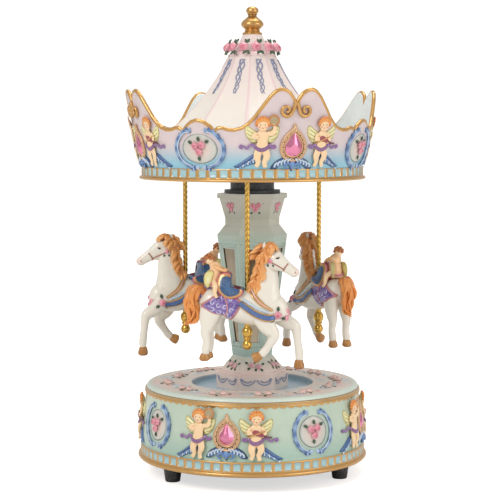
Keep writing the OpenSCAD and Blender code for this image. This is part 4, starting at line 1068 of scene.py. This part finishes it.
def cloth_paint(share):
    """Violet with a pale inner line and a copper-pink hem."""
    field = blend_paint(tint(112, 90, 164), tint(150, 132, 190), 0.5 + 0.5 * np.sin(share * 14))
    return blend_paint(field, tint(200, 130, 132), smooth_step(share, 0.84, 0.9))


def stroke(stops, radius, count=24, sides=6, flat=0.7):
    """Thin raised line through flat stops (x, z), a little proud of the surface it is laid on."""
    line = spline(stops, count)
    path = np.stack([line[:, 0], np.full(count, -0.4 * radius), line[:, 1]], -1)
    return sweep(path, radius, across=(0, 1, 0), sides=sides, flat=flat)


def leafy_roses(blooms, leaves, rose_size, paint_in=None, paint_out=None):
    """Flat spray of roses with dark leaves; blooms are (x, z), leaves are (x, z, turn)."""
    spray = Batch()
    for x, z, turn in leaves:
        spray.add(leaf(rose_size * 1.25, rose_size * 0.42, turn, (x, z)), tint(50, 80, 56))
    for x, z in blooms:
        (points, quads), paint = rose(rose_size, paint_in=paint_in, paint_out=paint_out)
        spray.add((points + np.array([x, -0.25 * rose_size, z]), quads), paint)
    return spray


for side in (-1, 1):
    lay = flank(side)
    (points, quads), paint = cushion(cloth_outline, 0.9, cloth_paint, count=110, rows=22, power=8)
    points[-1, 1] = -0.2
    tack.add((lay(points), quads), paint)
    for k, (x0, z0) in enumerate(((-24.2, 11.0), (-21.0, 12.6), (-21.2, 8.9), (-17.6, 14.4), (-17.4, 10.6), (-17.0, 7.0),
                                  (-13.6, 13.4), (-13.4, 9.6), (-12.8, 5.8), (-9.8, 11.6), (-9.6, 7.6), (-10.6, 3.8),
                                  (-6.4, 10.4), (-14.8, 15.8), (-9.6, 14.8))):
        coil = np.linspace(0, 1.6 * np.pi, 9)
        size = 1.5 * (1 - 0.62 * coil / coil[-1])
        curl = np.stack([x0 + size * np.cos(coil + 1.9 * k), z0 + size * np.sin(coil + 1.9 * k)], -1)
        points, quads = stroke(curl, 0.3, count=18)
        tack.add((lay(points - [0, 0.9, 0]), quads), tint(206, 206, 232) if k % 3 else tint(92, 68, 136))
    division = stroke([[-13.8, 16.6], [-12.2, 12.0], [-12.0, 7.6], [-13.6, 3.6]], 0.45, count=24)
    tack.add((lay(division[0] - [0, 0.9, 0]), division[1]), tint(206, 140, 140))
    for stops, radius, colour, lift in (
            ([[-4.2, 12.4], [1.5, 8.2], [7.5, 4.6], [13.6, 3.2], [17.5, 3.4]], 1.7, tint(78, 108, 162), 0.1),
            ([[-4.2, 14.1], [1.8, 10.1], [7.8, 6.5], [13.8, 4.9], [17.5, 4.9]], 0.45, GOLD, 0.6),
            ([[-4.2, 10.7], [1.0, 6.4], [7.2, 2.8], [13.4, 1.5], [17.5, 1.9]], 0.45, GOLD, 0.6),
            ([[-2.4, 14.6], [2.6, 11.6], [8, 8.6], [13.4, 6.6]], 1.0, tint(196, 212, 224), -0.3),
            ([[1.2, 20.4], [4.2, 15.6], [8.8, 11.2], [15.4, 7.6]], 0.5, GOLD, 0.3),
            ([[3.6, 21.6], [6.2, 16.8], [10.4, 12.2], [16.4, 7.8]], 0.5, GOLD, 0.3),
            ([[2.4, 21.0], [5.2, 16.2], [9.6, 11.7], [15.9, 7.7]], 0.7, tint(222, 176, 160), 0.1)):
        points, quads = stroke(stops, radius, count=40, flat=0.45)
        tack.add((lay(points - [0, lift, 0]), quads), colour)
    spray = leafy_roses([(19.4, 4.6)], [(17.4, 2.2, 3.6), (21.6, 3.0, -0.6), (19.5, 7.2, 1.5)], 2.5)
    spray.drop_into(tack, lay)
    spray = leafy_roses([(14.3, 38.2)], [(13.4, 36.2, 4.2), (15.8, 36.2, 5.2), (12.6, 39.6, 2.6)], 1.5)
    spray.drop_into(tack, lay)
    for stops in ([[15.4, 37.4], [18.8, 35.6], [22.6, 33.4]], [[25.6, 37.0], [23.8, 34.6], [22.5, 32.2]],
                  [[14.0, 39.6], [13.4, 42.6], [14.6, 45.2]]):
        points, quads = stroke(stops, 0.36, count=16)
        tack.add((lay(points), quads), tint(166, 104, 84))
    eye_at = lay(np.array([[19.1, 0.1, 40.2]]))[0]
    tack.add(ball(eye_at, (1.25, 0.55, 0.62), turn=-0.3), tint(22, 20, 20))
    tack.add(ball(eye_at + [0.1, side * 0.1, 0.75], (1.5, 0.5, 0.32), turn=-0.25), tint(222, 210, 196))
    nostril_at = lay(np.array([[30.2, 0.1, 31.6]]))[0]
    tack.add(ball(nostril_at, (0.45, 0.3, 0.6)), tint(176, 140, 126))
for centre, size in (((24.6, -1.6, 7.4), 2.0), ((24.8, 2.2, 5.0), 2.1), ((24.2, -2.6, 2.6), 2.1)):
    (points, quads), paint = rose(size)
    forward = np.stack([-points[:, 1], points[:, 0], points[:, 2]], -1)
    tack.add((forward + np.array(centre), quads), paint)

# The cupid behind the saddle.
tack.add(ball((-23.4, 0, 38.6), (2.8, 2.7, 3.1)), SKIN)
for k in range(14):
    phi = 2.4 * k
    up = 1 - (k + 0.5) / 14 * 1.25
    ring = np.sqrt(max(0, 1 - up * up))
    tack.add(ball((-23.6 + 2.6 * ring * np.cos(phi), 2.6 * ring * np.sin(phi), 39.2 + 2.7 * up), (1.25, 1.25, 1.1),
                  rows=6, turns=10), tint(176, 104, 44))
tack.add(limb([[-22.6, 0, 36.6, 1.6, 1.7], [-20.2, 0, 34.0, 3.9, 4.0], [-19.2, 0, 30, 3.8, 3.9], [-20.2, 0, 26, 4.1, 4.2],
               [-21.2, 0, 21.4, 2.8, 3.6]], 24, 14), tint(242, 196, 150))
for side in (-1, 1):
    tack.add(limb([[-20.4, side * 2.6, 34.6, 1.5, 1.4], [-17.2, side * 4.4, 33.4, 1.2, 1.2],
                   [-14.6, side * 4.0, 32.2, 1.0, 1.0], [-12.6, side * 3.2, 31.8, 0.9, 0.9]], 18, 10),
             tint(238, 182, 124))
    tack.add(limb([[-20.6, side * 2.4, 25.4, 2.0, 1.9], [-19.4, side * 6.6, 22.8, 1.8, 1.7],
                   [-19.6, side * 8.0, 18.4, 1.2, 1.2], [-18.2, side * 8.6, 15.6, 0.9, 0.9]], 18, 10), SKIN)
    wing_outline = [[-20.6, 31.4], [-24.4, 31.8], [-26.6, 28.6], [-26.4, 24.0], [-24.4, 21.2], [-22.4, 23.4],
                    [-21.4, 27.0]]
    (points, quads), paint = cushion(wing_outline, 0.9, lambda share: blend_paint(WING, tint(214, 200, 120), share),
                                     count=40)
    points[:, 1] = side * (3.8 - points[:, 1] + 0.18 * (points[:, 0] + 20) * -1)
    tack.add((points, quads), paint)
scarf = sweep(spline([[-21.4, -4.0, 24.4], [-18.4, 0, 26.6], [-18.6, 4.0, 24.6], [-22.6, 3.0, 23.4], [-23.0, -2.4, 23.6]],
                     40, closed=True), 1.1, across=(0, 0, 1), sides=8, closed=True)
tack.add(scarf, tint(200, 120, 140))

horse = Batch()
horse.add((skin_points, skin_quads), skin_paint)
tack_points, tack_quads, tack_paint = tack.arrays()
horse.add((tack_points, tack_quads), tack_paint)
horse_points, horse_quads, horse_paint = horse.arrays()
horse_resin = painted("horse_glaze", mottle=0.16, gloss=0.2, coat=0.45)
horse_z = box_mm("pole_ball_nut_1")[1][2] + 1.1
HORSE_TURNS = (0, 0, -36)
for number, (x, y) in enumerate(POLE_SPOTS, 1):
    heading = math.atan2(x, -y) + math.radians(HORSE_TURNS[number - 1])
    ca, sa = math.cos(heading), math.sin(heading)
    placed = np.stack([x + horse_points[:, 0] * ca - horse_points[:, 1] * sa,
                       y + horse_points[:, 0] * sa + horse_points[:, 1] * ca, horse_z + horse_points[:, 2]], -1)
    rider = Batch()
    rider.add((placed, horse_quads), horse_paint)
    batch_piece("painted_horse_%d" % number, rider, horse_resin, "canopy", ["horse_%d" % number])


# ---------------------------------------------------------------------------
# Wall reliefs: four alike panels round the drum and round the crown, moulded
# with the walls and painted. Each has a framed gem between two cupids, blue
# drapery, and a rose medallion.
# ---------------------------------------------------------------------------
BLUE = tint(80, 114, 166)
BLUE_DEEP = tint(46, 72, 120)
FOAM = tint(206, 222, 238)
PLUM = tint(136, 96, 142)


def shaded(inner, rim, start=0.6, end=0.95):
    """Paint rule for a cushion: one colour in the middle, another towards its rim."""
    return lambda share: blend_paint(inner, rim, smooth_step(share, start, end))


def cupid(with_violin):
    """Flat cupid about 32 high, feet down: melted body, curls, wings, sash, and a violin or a raised tambourine."""
    made = Batch()
    gem_side = -1 if with_violin else 1
    for side in (-1, 1):
        wing = [[side * 2.2, 4.6], [side * 5.6, 7.2], [side * 8.8, 9.4], [side * 10.6, 8.2], [side * 10.2, 4.2],
                [side * 8.0, 0.6], [side * 5.2, -1.6], [side * 2.6, -0.4]]
        made.add(*cushion(wing, 1.3, shaded(WING, tint(216, 204, 138)), count=40, rows=6))
        for k in range(3):
            feather = stroke([[side * (3.6 + 0.9 * k), 4.2 - 1.7 * k], [side * (6.4 + 0.6 * k), 5.2 - 1.9 * k],
                              [side * (9.2 - 0.2 * k), 7.0 - 2.3 * k]], 0.26, count=10)
            made.add((feather[0] - [0, 1.25, 0], feather[1]), tint(190, 176, 96))
    body = [ball((0.3, -2.9, 9.8), (3.5, 2.9, 3.8)),
            limb([[0, -1.8, 6.6, 1.6, 1.4], [0, -2.2, 3.6, 3.7, 2.2], [0.2, -2.5, -0.4, 3.1, 2.3],
                  [0, -2.4, -4.4, 3.9, 2.5], [0, -2.2, -6.4, 2.6, 2.0]], 30, 16),
            limb([[-1.7, -2.1, -5, 2.3, 2.0], [-2.8, -3.0, -9.2, 2.2, 2.1], [-2.2, -2.0, -12.8, 1.5, 1.5],
                  [-3.4, -2.2, -15.6, 1.3, 1.3]], 24, 12),
            limb([[1.8, -2.1, -5, 2.3, 2.0], [2.9, -3.2, -9.0, 2.1, 2.1], [1.6, -2.0, -12.8, 1.5, 1.5],
                  [2.3, -2.4, -16.0, 1.3, 1.3]], 24, 12)]
    if with_violin:
        arms = ([[-3.2, -2.2, 4.2, 1.5, 1.4], [-4.4, -3.6, 1.0, 1.3, 1.3], [-1.6, -5.0, 1.4, 1.1, 1.1]],
                [[3.2, -2.2, 4.2, 1.5, 1.4], [5.2, -3.4, 1.2, 1.3, 1.3], [3.6, -4.8, -1.0, 1.1, 1.1]])
    else:
        arms = ([[-3.2, -2.2, 4.4, 1.5, 1.4], [-5.2, -3.2, 2.6, 1.3, 1.3], [-2.4, -4.6, 2.2, 1.1, 1.1]],
                [[3.2, -2.2, 4.4, 1.5, 1.4], [6.6, -2.8, 4.8, 1.4, 1.3], [7.4, -3.0, 8.4, 1.1, 1.1],
                 [6.2, -3.2, 10.8, 1.0, 1.0]])
    body += [limb(stops, 20, 12) for stops in arms]
    points, quads, normals = fuse(body, 0.4, 3)
    # Painted shade: the skin darkens to warm brown in the body's creases.
    made.add((points, quads), blend_paint(SKIN, tint(214, 142, 92), 0.9 * hollows(points, quads, normals, 2)))
    for k in range(17):
        around = np.pi * (k / 16) * 1.12 - 0.19
        made.add(ball((0.3 + 3.5 * np.cos(around), -3.3, 10.4 + 3.4 * np.sin(around)), (1.25, 1.5, 1.15), rows=6,
                      turns=9), HAIR if k % 2 else tint(214, 124, 54))
    for k in range(7):
        made.add(ball((-2.4 + 0.95 * k, -4.9 - 0.5 * np.sin(k * 0.5), 12.7 - 0.14 * (k - 3) ** 2), (1.1, 1.1, 1.0), rows=6,
                      turns=9), HAIR if k % 2 else tint(238, 164, 84))
    for side in (-1, 1):
        made.add(ball((0.3 + side * 1.25, -5.45, 9.7), (0.42, 0.3, 0.34), rows=5, turns=8), tint(70, 48, 40))
        made.add(ball((0.3 + side * 1.9, -5.0, 8.3), (0.8, 0.35, 0.6), rows=5, turns=8), tint(240, 160, 136))
    made.add(ball((0.3, -5.75, 7.8), (0.6, 0.3, 0.26), rows=5, turns=8), tint(190, 70, 70))
    sash = spline([[-3.9, -3.2, -3.6], [-1.6, -5.2, -5.2], [1.4, -5.3, -5.0], [4.0, -3.4, -3.2]], 24)
    made.add(sweep(sash, 1.15, across=(0, 1, 0), sides=8, flat=0.6), PLUM)
    for side in (-1, 1):
        reach = 0.42 if side == gem_side else 1.0
        tail = spline([[side * 3.8, -2.8, -3.4], [side * (3.8 + 2.8 * reach), -1.6, -2.2],
                       [side * (3.8 + 5.2 * reach), -1.0, -4.4], [side * (3.8 + 7.4 * reach), -1.0, -3.2],
                       [side * (3.8 + 8.8 * reach), -0.9, -4.6]], 30)
        made.add(sweep(tail, np.linspace(0.9, 0.5, 30), across=(0, 1, 0), sides=8, flat=0.6), tint(150, 112, 166))
        made.add(ball((side * (3.8 + 8.9 * reach), -1.1, -3.4), (1.2, 0.8, 1.3), rows=6, turns=10), tint(142, 100, 160))
    if with_violin:
        made.add(ball((0.2, -5.9, 1.2), (2.7, 0.9, 1.7), turn=0.35), tint(160, 70, 80))
        made.add(ball((2.6, -5.9, 0.2), (2.1, 0.8, 1.3), turn=0.35), tint(150, 62, 74))
        neck_of = spline([[3.6, -5.8, -0.2], [6.4, -4.6, -1.2], [9.4, -2.6, -1.8]], 12)
        made.add(sweep(neck_of, 0.55, sides=7), tint(110, 50, 60))
        bow = spline([[-5.2, -5.6, -1.6], [0.4, -6.8, 0.6], [5.2, -5.4, 2.6]], 12)
        made.add(sweep(bow, 0.35, sides=6), tint(210, 160, 90))
    else:
        drum = ball((6.9, -3.4, 12.4), (2.7, 1.0, 2.9))
        made.add(drum, tint(176, 156, 120))
        hoop_turn = np.linspace(0, 2 * np.pi, 28, endpoint=False)
        hoop = np.stack([6.9 + 2.8 * np.cos(hoop_turn), -3.9 + 0 * hoop_turn, 12.4 + 3.0 * np.sin(hoop_turn)], -1)
        made.add(sweep(hoop, 0.55, across=(0, 1, 0), sides=8, closed=True), tint(196, 130, 70))
    return made


def drapery(side):
    """Blue cloth behind a cupid's legs, blown to one side, with pale folds."""
    made = Batch()
    cloth = [[side * 1.0, -8.2], [side * 5.2, -8.0], [side * 9.0, -10.4], [side * 13.0, -13.2], [side * 17.0, -15.6],
             [side * 12.6, -16.4], [side * 7.4, -14.6], [side * 3.4, -13.4], [side * 0.6, -12.0]]
    made.add(*cushion(cloth, 1.5, shaded(BLUE_DEEP, BLUE, 0.2, 0.8), count=52, rows=7))
    for k in range(8):
        u = 3.2 + 1.55 * k
        fold = stroke([[side * (u - 0.5), -8.7 - 0.72 * (u - 3)], [side * (u + 0.5), -10.4 - 0.62 * (u - 3)],
                       [side * (u + 0.1), -12.6 - 0.34 * (u - 3)]], 0.48, count=10)
        made.add((fold[0] - [0, 1.15, 0], fold[1]), FOAM if k % 2 else tint(128, 164, 208))
    return made


def gem_frame():
    """Pointed frame of two gold beads round a pink field, with blue acanthus leaves below."""
    made = Batch()
    half = np.array([[0, 11.8], [0.9, 9.2], [3.6, 6.6], [6.4, 3.0], [7.7, -1.2], [7.0, -5.4], [4.4, -8.6], [0, -9.9]])
    outline = np.concatenate([half, half[1:-1][::-1] * [-1, 1]])
    made.add(*cushion(outline * 0.97, 1.0, shaded(tint(234, 190, 186), tint(218, 188, 160), 0.5, 0.9), count=64, rows=7))
    for scale, radius, colour in ((1.0, 0.85, tint(214, 170, 128, 0.6)), (0.76, 0.6, tint(214, 166, 122, 0.7))):
        ring = spline(outline * scale, 90, closed=True)
        path = np.stack([ring[:, 0], np.full(90, -0.9), ring[:, 1]], -1)
        made.add(sweep(path, radius, across=(0, 1, 0), sides=8, closed=True), colour)
    for along in np.arange(0, 90, 2.5):
        u, v = spline(outline * 0.89, 90, closed=True)[int(along)]
        made.add(ball((u, -1.5, v), (0.55, 0.55, 0.55), rows=4, turns=7), tint(236, 206, 170, 0.4))
    for side in (-1, 1):
        big = [[side * 0.6, -8.4], [side * 4.2, -7.4], [side * 8.0, -8.6], [side * 11.4, -11.0], [side * 13.4, -14.6],
               [side * 9.8, -14.8], [side * 6.8, -12.6], [side * 3.6, -12.0], [side * 0.8, -13.0]]
        made.add(*cushion(big, 1.7, shaded(BLUE, BLUE_DEEP, 0.5, 0.95), count=52, rows=7))
        for k in range(5):
            u = 2.2 + 2.0 * k
            vein = stroke([[side * (u - 0.6), -8.6 - 0.3 * k * k * 0.5], [side * (u + 0.9), -10.0 - 0.32 * k * k * 0.5],
                           [side * (u + 0.6), -11.8 - 0.24 * k * k * 0.5]], 0.5, count=10)
            made.add((vein[0] - [0, 1.5, 0], vein[1]), FOAM)
        curl_turn = np.linspace(0, 1.7 * np.pi, 26)
        size = 2.3 * (1 - 0.6 * curl_turn / curl_turn[-1])
        curl = np.stack([side * (3.4 - size * np.cos(curl_turn)), np.full(26, -2.2), -13.4 + size * np.sin(curl_turn)], -1)
        made.add(sweep(curl, np.linspace(0.85, 0.45, 26), across=(0, 1, 0), sides=8), tint(96, 134, 190))
    made.add(*cushion([[0, -8.6], [2.3, -11.0], [1.5, -14.0], [0, -16.2], [-1.5, -14.0], [-2.3, -11.0]], 2.4,
                      shaded(tint(120, 156, 206), BLUE_DEEP), count=36, rows=6))
    return made


def medallion(wide, tall):
    """Rose spray on a pale pink field between two leafy C-scrolls, open at the top."""
    made = Batch()
    turn = np.linspace(0, 2 * np.pi, 16, endpoint=False)
    oval = np.stack([wide * 0.38 * np.cos(turn), tall * 0.4 * np.sin(turn)], -1)
    made.add(*cushion(oval, 0.45, shaded(tint(226, 206, 196), tint(204, 206, 198), 0.3, 0.95), count=64, rows=8,
                      power=2.0))
    for side in (-1, 1):
        c = np.array([[0.15, 0.44], [0.27, 0.47], [0.40, 0.33], [0.49, 0.12], [0.49, -0.10], [0.42, -0.30], [0.28, -0.45],
                      [0.14, -0.49]]) * [side * wide, tall]
        line = spline(c, 46)
        path = np.stack([line[:, 0], np.full(46, -0.7), line[:, 1]], -1)
        t = np.linspace(0, 1, 46)
        pale = np.append(np.repeat(0.5 + 0.5 * np.sin(34 * t), 8), [0, 0])
        made.add(sweep(path, 0.7 + 0.6 * np.sin(np.pi * t), across=(0, 1, 0), sides=8),
                 blend_paint(BLUE, tint(156, 184, 216), 0.85 * pale))
        inner = path * [0.93, 1, 0.93] - [0, 0.5, 0]
        made.add(sweep(inner[3:-3], 0.35, across=(0, 1, 0), sides=6), FOAM)
        for k in range(11):
            u, v = line[2 + 4 * k]
            out = math.atan2(v, u)
            made.add(leaf(3.0, 1.0, out + side * 0.9, (u * 0.97, v * 0.97)), tint(80, 112, 166) if k % 2 else tint(142, 172, 210))
        for k in range(4):
            made.add(leaf(4.2, 1.3, (-0.4 - 0.45 * k) if side > 0 else (-2.74 + 0.45 * k),
                          (side * (0.8 + 1.9 * k), (-0.46 + 0.012 * k) * tall)),
                     tint(66, 96, 156) if k % 2 else tint(170, 194, 222))
    spray = leafy_roses([(-2.3, 1.8), (2.2, 2.3), (0.1, -2.0)], [(-4.6, 3.2, 2.6), (4.4, 3.8, 0.5), (-0.4, -4.6, -1.5),
                                                                (0.2, 4.6, 1.6)], 2.4)
    spray.drop_into(made, lambda flat: flat - [0, 0.7, 0])
    return made


drummer, fiddler = cupid(False), cupid(True)
framed, left_cloth, right_cloth = gem_frame(), drapery(-1), drapery(1)
drum_relief, crown_relief = Batch(), Batch()
drum_medallion, crown_medallion = medallion(27, 25), medallion(32, 23)
for quarter in range(4):
    gem_low, gem_high = box_mm("base_gem_%d" % (quarter + 1))
    gem = (gem_low + gem_high) / 2
    at = math.atan2(gem[0], -gem[1])
    framed.drop_into(drum_relief, on_drum(at, gem[2] - WALL_Z))
    for turn, shapes in ((-14.6, (left_cloth, drummer)), (14.6, (right_cloth, fiddler))):
        for shape in shapes:
            shape.drop_into(drum_relief, pressed(on_drum(at + math.radians(turn), 17.4), 6.0))
    drum_medallion.drop_into(drum_relief, on_drum(at + math.radians(45), 16.9))
    gem_low, gem_high = box_mm("crown_gem_%d" % (quarter + 1))
    gem = (gem_low + gem_high) / 2
    at = math.atan2(gem[0], -gem[1])
    framed.drop_into(crown_relief, on_crown(at, gem[2] - CROWN_Z))
    for turn, shapes in ((-14.9, (left_cloth, drummer)), (14.2, (right_cloth, fiddler))):
        for shape in shapes:
            shape.drop_into(crown_relief, pressed(on_crown(at + math.radians(turn), 25.1), 2.5))
    crown_medallion.drop_into(crown_relief, on_crown(at - math.radians(45), 20.3))
batch_piece("drum_reliefs", drum_relief, resin_paint, "base")
batch_piece("crown_reliefs", crown_relief, resin_paint, "canopy")


# ---------------------------------------------------------------------------
# Column and deck trimmings: mirror frames with pearl edges, rose sprays on the
# pedestal, capital and deck, and swags on the pedestal; all moulded and painted.
# ---------------------------------------------------------------------------
def on_face(angle, place_of):
    """Lays flat points (u, out as minus Y, v) on an upright or leaning face turned to an angle round the axis."""
    ca, sa = math.cos(angle), math.sin(angle)

    def place(flat):
        y, z = place_of(flat[:, 1], flat[:, 2])
        return np.stack([flat[:, 0] * ca - y * sa, flat[:, 0] * sa + y * ca, z], -1)
    return place


COLUMN_MINT = tint(166, 188, 178)
CAPITAL_Z = box_mm("capital")[0][2]
COLUMN_Z = box_mm("column_body")[0][2]
trims = Batch()
for number in range(1, 7):
    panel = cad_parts["mirror_panel_%d" % number]
    corners = np.empty(len(panel.data.vertices) * 3)
    panel.data.vertices.foreach_get("co", corners)
    corners = corners.reshape(-1, 3) / MM
    middle = corners.mean(0)
    angle = math.atan2(middle[0], -middle[1])
    ca, sa = math.cos(angle), math.sin(angle)
    u = corners[:, 0] * ca + corners[:, 1] * sa
    y = -corners[:, 0] * sa + corners[:, 1] * ca
    low, high = corners[:, 2].min(), corners[:, 2].max()
    near_low, near_high = corners[:, 2] < low + 2, corners[:, 2] > high - 2
    half_low, half_high = u[near_low].max(), u[near_high].max()
    y_low, y_high = y[near_low].min(), y[near_high].min()
    height = high - low

    def on_panel(across, v, y_low=y_low, y_high=y_high, low=low, height=height):
        """Leaning plane of the mirror's front."""
        return y_low + (y_high - y_low) * v / height + across, low + v
    lay = on_face(angle, on_panel)
    for inset, radius, flat, colour in ((1.2, 1.9, 0.45, COLUMN_MINT), (2.9, 0.4, 1.0, tint(196, 206, 196))):
        ring = np.array([[-half_low + inset, inset], [half_low - inset, inset], [half_high - inset, height - inset],
                         [-half_high + inset, height - inset]])
        edge = np.concatenate([np.linspace(ring[k], ring[(k + 1) % 4], 12, endpoint=False) for k in range(4)])
        path = np.stack([edge[:, 0], np.full(len(edge), -0.1 - 0.4 * flat), edge[:, 1]], -1)
        shape, quads = sweep(path, radius, across=(0, 1, 0), sides=8, flat=flat, closed=True)
        trims.add((lay(shape), quads), colour)
    for k in range(4):
        outset = np.array([[-half_low - 0.6, -0.6], [half_low + 0.6, -0.6], [half_high + 0.6, height + 0.6],
                           [-half_high - 0.6, height + 0.6]])
        a, b = outset[k], outset[(k + 1) % 4]
        count = int(np.hypot(*(b - a)) / 1.5)
        for s in np.linspace(0, 1, count, endpoint=False):
            bead = ball((a[0] + (b[0] - a[0]) * s, -0.35, a[1] + (b[1] - a[1]) * s), (0.5, 0.5, 0.5), rows=3, turns=6)
            trims.add((lay(bead[0]), bead[1]), tint(222, 226, 216))

    apothem = 20.4
    wall = on_face(angle, lambda across, v: (-apothem + across, RECESS_Z + 5.4 + v))
    for side in (-1, 1):
        for swag in ([[side * 10.2, 2.6], [side * 8.4, -0.6], [side * 5.2, -1.6], [side * 2.2, -0.4], [side * 0.6, 1.8]],
                     [[side * 9.6, 2.8], [side * 7.8, 1.0], [side * 5.2, 0.2], [side * 2.8, 1.2]]):
            shape, quads = stroke(swag, 0.45, count=24)
            trims.add((wall(shape), quads), tint(140, 150, 176))
    slope = on_face(angle, lambda across, v: (-15.3 + across + 0.59 * v, RECESS_Z + 15.6 + 0.81 * v))
    spray = leafy_roses([(-2.4, 0.6), (2.2, -0.4)], [(-4.6, 1.6, 2.4), (-3.6, -1.2, 3.9), (4.2, 0.8, 0.6), (0.2, -1.8, -1.5),
                                                     (0.0, 1.6, 1.5), (3.4, -2.2, -0.8)], 1.9,
                        paint_in=tint(206, 120, 140), paint_out=tint(236, 196, 200))
    spray.drop_into(trims, slope)
    brow = on_face(angle, lambda across, v: (-16.9 + across - 0.22 * v, CAPITAL_Z + 7.6 + v))
    spray = leafy_roses([(-2.0, 0.8), (1.8, 1.2), (0, -1.6)], [(-4.2, 1.6, 2.6), (4.0, 2.0, 0.4), (-2.0, -2.8, 4.2),
                                                              (2.0, -2.8, 5.2)], 1.8)
    spray.drop_into(trims, brow)
batch_piece("column_trims", trims, resin_paint, "base")


def on_deck(angle, radius):
    """Lays flat points (u, out as minus Y, v) on the deck's top: u runs round it and v outwards."""
    def place(flat):
        r = radius + flat[:, 2]
        return ring_points(angle + flat[:, 0] / radius, r, DECK_Z - 0.55 - flat[:, 1])
    return place


deck_trims = Batch()
rng = np.random.default_rng(11)
for k in range(12):
    angle = 2 * np.pi * (k + 0.25) / 12
    lay = on_deck(angle, 53.5 + (k % 2) * 2.5)
    spray = leafy_roses([(-3.4, 0.4), (3.2, -0.8)], [(-7.0, 1.4, 3.0), (-6.0, -1.8, 3.6), (0.2, 2.0, 1.4), (6.4, 0.8, 0.2),
                                                     (5.6, -2.6, -0.5), (-0.4, -2.2, -1.6)], 2.5,
                        paint_in=tint(222, 160, 156), paint_out=tint(232, 208, 200))
    spray.drop_into(deck_trims, lay)
    for flip in (-1, 1):
        ribbon = stroke([[flip * 6.0, 0.4], [flip * 9.0, 2.2], [flip * 12.0, -0.6], [flip * 14.6, 1.8]], 0.8, count=24,
                        flat=0.4)
        deck_trims.add((lay(ribbon[0]), ribbon[1]), tint(236, 186, 184) if k % 2 else tint(196, 214, 222))
batch_piece("deck_sprays", deck_trims, resin_paint, "base")


# ---------------------------------------------------------------------------
# Carried-over CAD pieces: each keeps its shape and gets its own finish.
# ---------------------------------------------------------------------------
def height_paint(name, stops, mottle=0.25, gloss=0.24):
    """Varnished paint whose colour follows the height on the piece; stops are (height in mm, colour)."""
    mat = bpy.data.materials.new(name)
    mat.use_nodes = True
    nodes, links = mat.node_tree.nodes, mat.node_tree.links
    shader = nodes["Principled BSDF"]
    where = nodes.new("ShaderNodeTexCoord")
    split = nodes.new("ShaderNodeSeparateXYZ")
    links.new(where.outputs["Object"], split.inputs["Vector"])
    low, high = stops[0][0], stops[-1][0]
    span = nodes.new("ShaderNodeMapRange")
    span.inputs["From Min"].default_value = low * MM
    span.inputs["From Max"].default_value = high * MM
    links.new(split.outputs["Z"], span.inputs["Value"])
    ramp = nodes.new("ShaderNodeValToRGB")
    for count, (height, colour) in enumerate(stops):
        place = (height - low) / (high - low)
        if count < 2:
            element = ramp.color_ramp.elements[count]
            element.position = place
        else:
            element = ramp.color_ramp.elements.new(place)
        element.color = list(colour[:3]) + [1]
    links.new(span.outputs["Result"], ramp.inputs["Fac"])
    finish = nodes.new("ShaderNodeGroup")
    finish.node_tree = hand_finish
    finish.inputs["Mottle"].default_value = mottle
    finish.inputs["Grain"].default_value = 900
    finish.inputs["Gloss"].default_value = gloss
    links.new(ramp.outputs["Color"], finish.inputs["Paint"])
    links.new(finish.outputs["Paint"], shader.inputs["Base Color"])
    links.new(finish.outputs["Roughness"], shader.inputs["Roughness"])
    links.new(finish.outputs["Normal"], shader.inputs["Normal"])
    shader.inputs["Coat Weight"].default_value = 0.3
    shader.inputs["Coat Roughness"].default_value = 0.15
    return mat


def dress(material, *nodes):
    """Gives CAD nodes a material."""
    for name in nodes:
        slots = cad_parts[name].data.materials
        slots.clear()
        slots.append(material)


dress(height_paint("pedestal_resin", [(RECESS_Z, tint(226, 208, 198)), (RECESS_Z + 11, tint(232, 210, 202)),
                                      (RECESS_Z + 20, tint(200, 204, 192))]), "pedestal")
dress(height_paint("column_resin", [(COLUMN_Z, tint(150, 180, 174)), (COLUMN_Z + 8, tint(166, 190, 180)),
                                    (COLUMN_Z + 76, tint(172, 192, 180)), (COLUMN_Z + 83, tint(198, 198, 182)),
                                    (COLUMN_Z + 90, tint(190, 190, 174))]), "column_body")
dress(height_paint("capital_resin", [(CAPITAL_Z, tint(184, 184, 168)), (CAPITAL_Z + 16, tint(204, 200, 186))]), "capital")

black = height_paint("black_moulding", [(0, tint(30, 32, 34)), (190, tint(36, 38, 42))], mottle=0.4, gloss=0.35)
dress(black, "base_plate", "bearing_plate", "canopy_hub", "foot_1", "foot_2", "foot_3")
dress(height_paint("plate_resin", [(189, tint(200, 216, 222)), (193, tint(214, 222, 226))]), "canopy_plate")
# Painted reflection: the mirror is tinted tan and clouded darker in coarse patches, standing for the warm, dark
# surroundings it reflects.
mirror = metal("silvered_glass", tint(172, 158, 138), 0.05, tarnish_and_reflection=0.35, scale=60)
dress(mirror, *["mirror_panel_%d" % k for k in range(1, 7)])
dress(metal("turned_steel", tint(196, 198, 202), 0.25), "base_plate_screws", "movement_screws", "bridge_screws",
      "comb_screws", "hub_screws", "drive_shaft", "winding_arbor", "cylinder_arbor", "comb", "mainspring",
      "governor_fan")
dress(metal("cast_zinc", tint(168, 170, 174), 0.42, tarnish_and_reflection=0.3), "movement_bedplate", "barrel_bridge")
dress(metal("machined_brass", tint(206, 168, 96), 0.28), "lower_bushing", "upper_bushing", "governor_frame",
      "spring_barrel", "pinned_cylinder", "cylinder_gears", "governor_wheel", "pole_lock_nuts", "winding_key")
gem_glass = metal("gem_stand_in", tint(240, 150, 184), 0.14)
dress(gem_glass, *["base_gem_%d" % k for k in range(1, 5)], *["crown_gem_%d" % k for k in range(1, 5)])
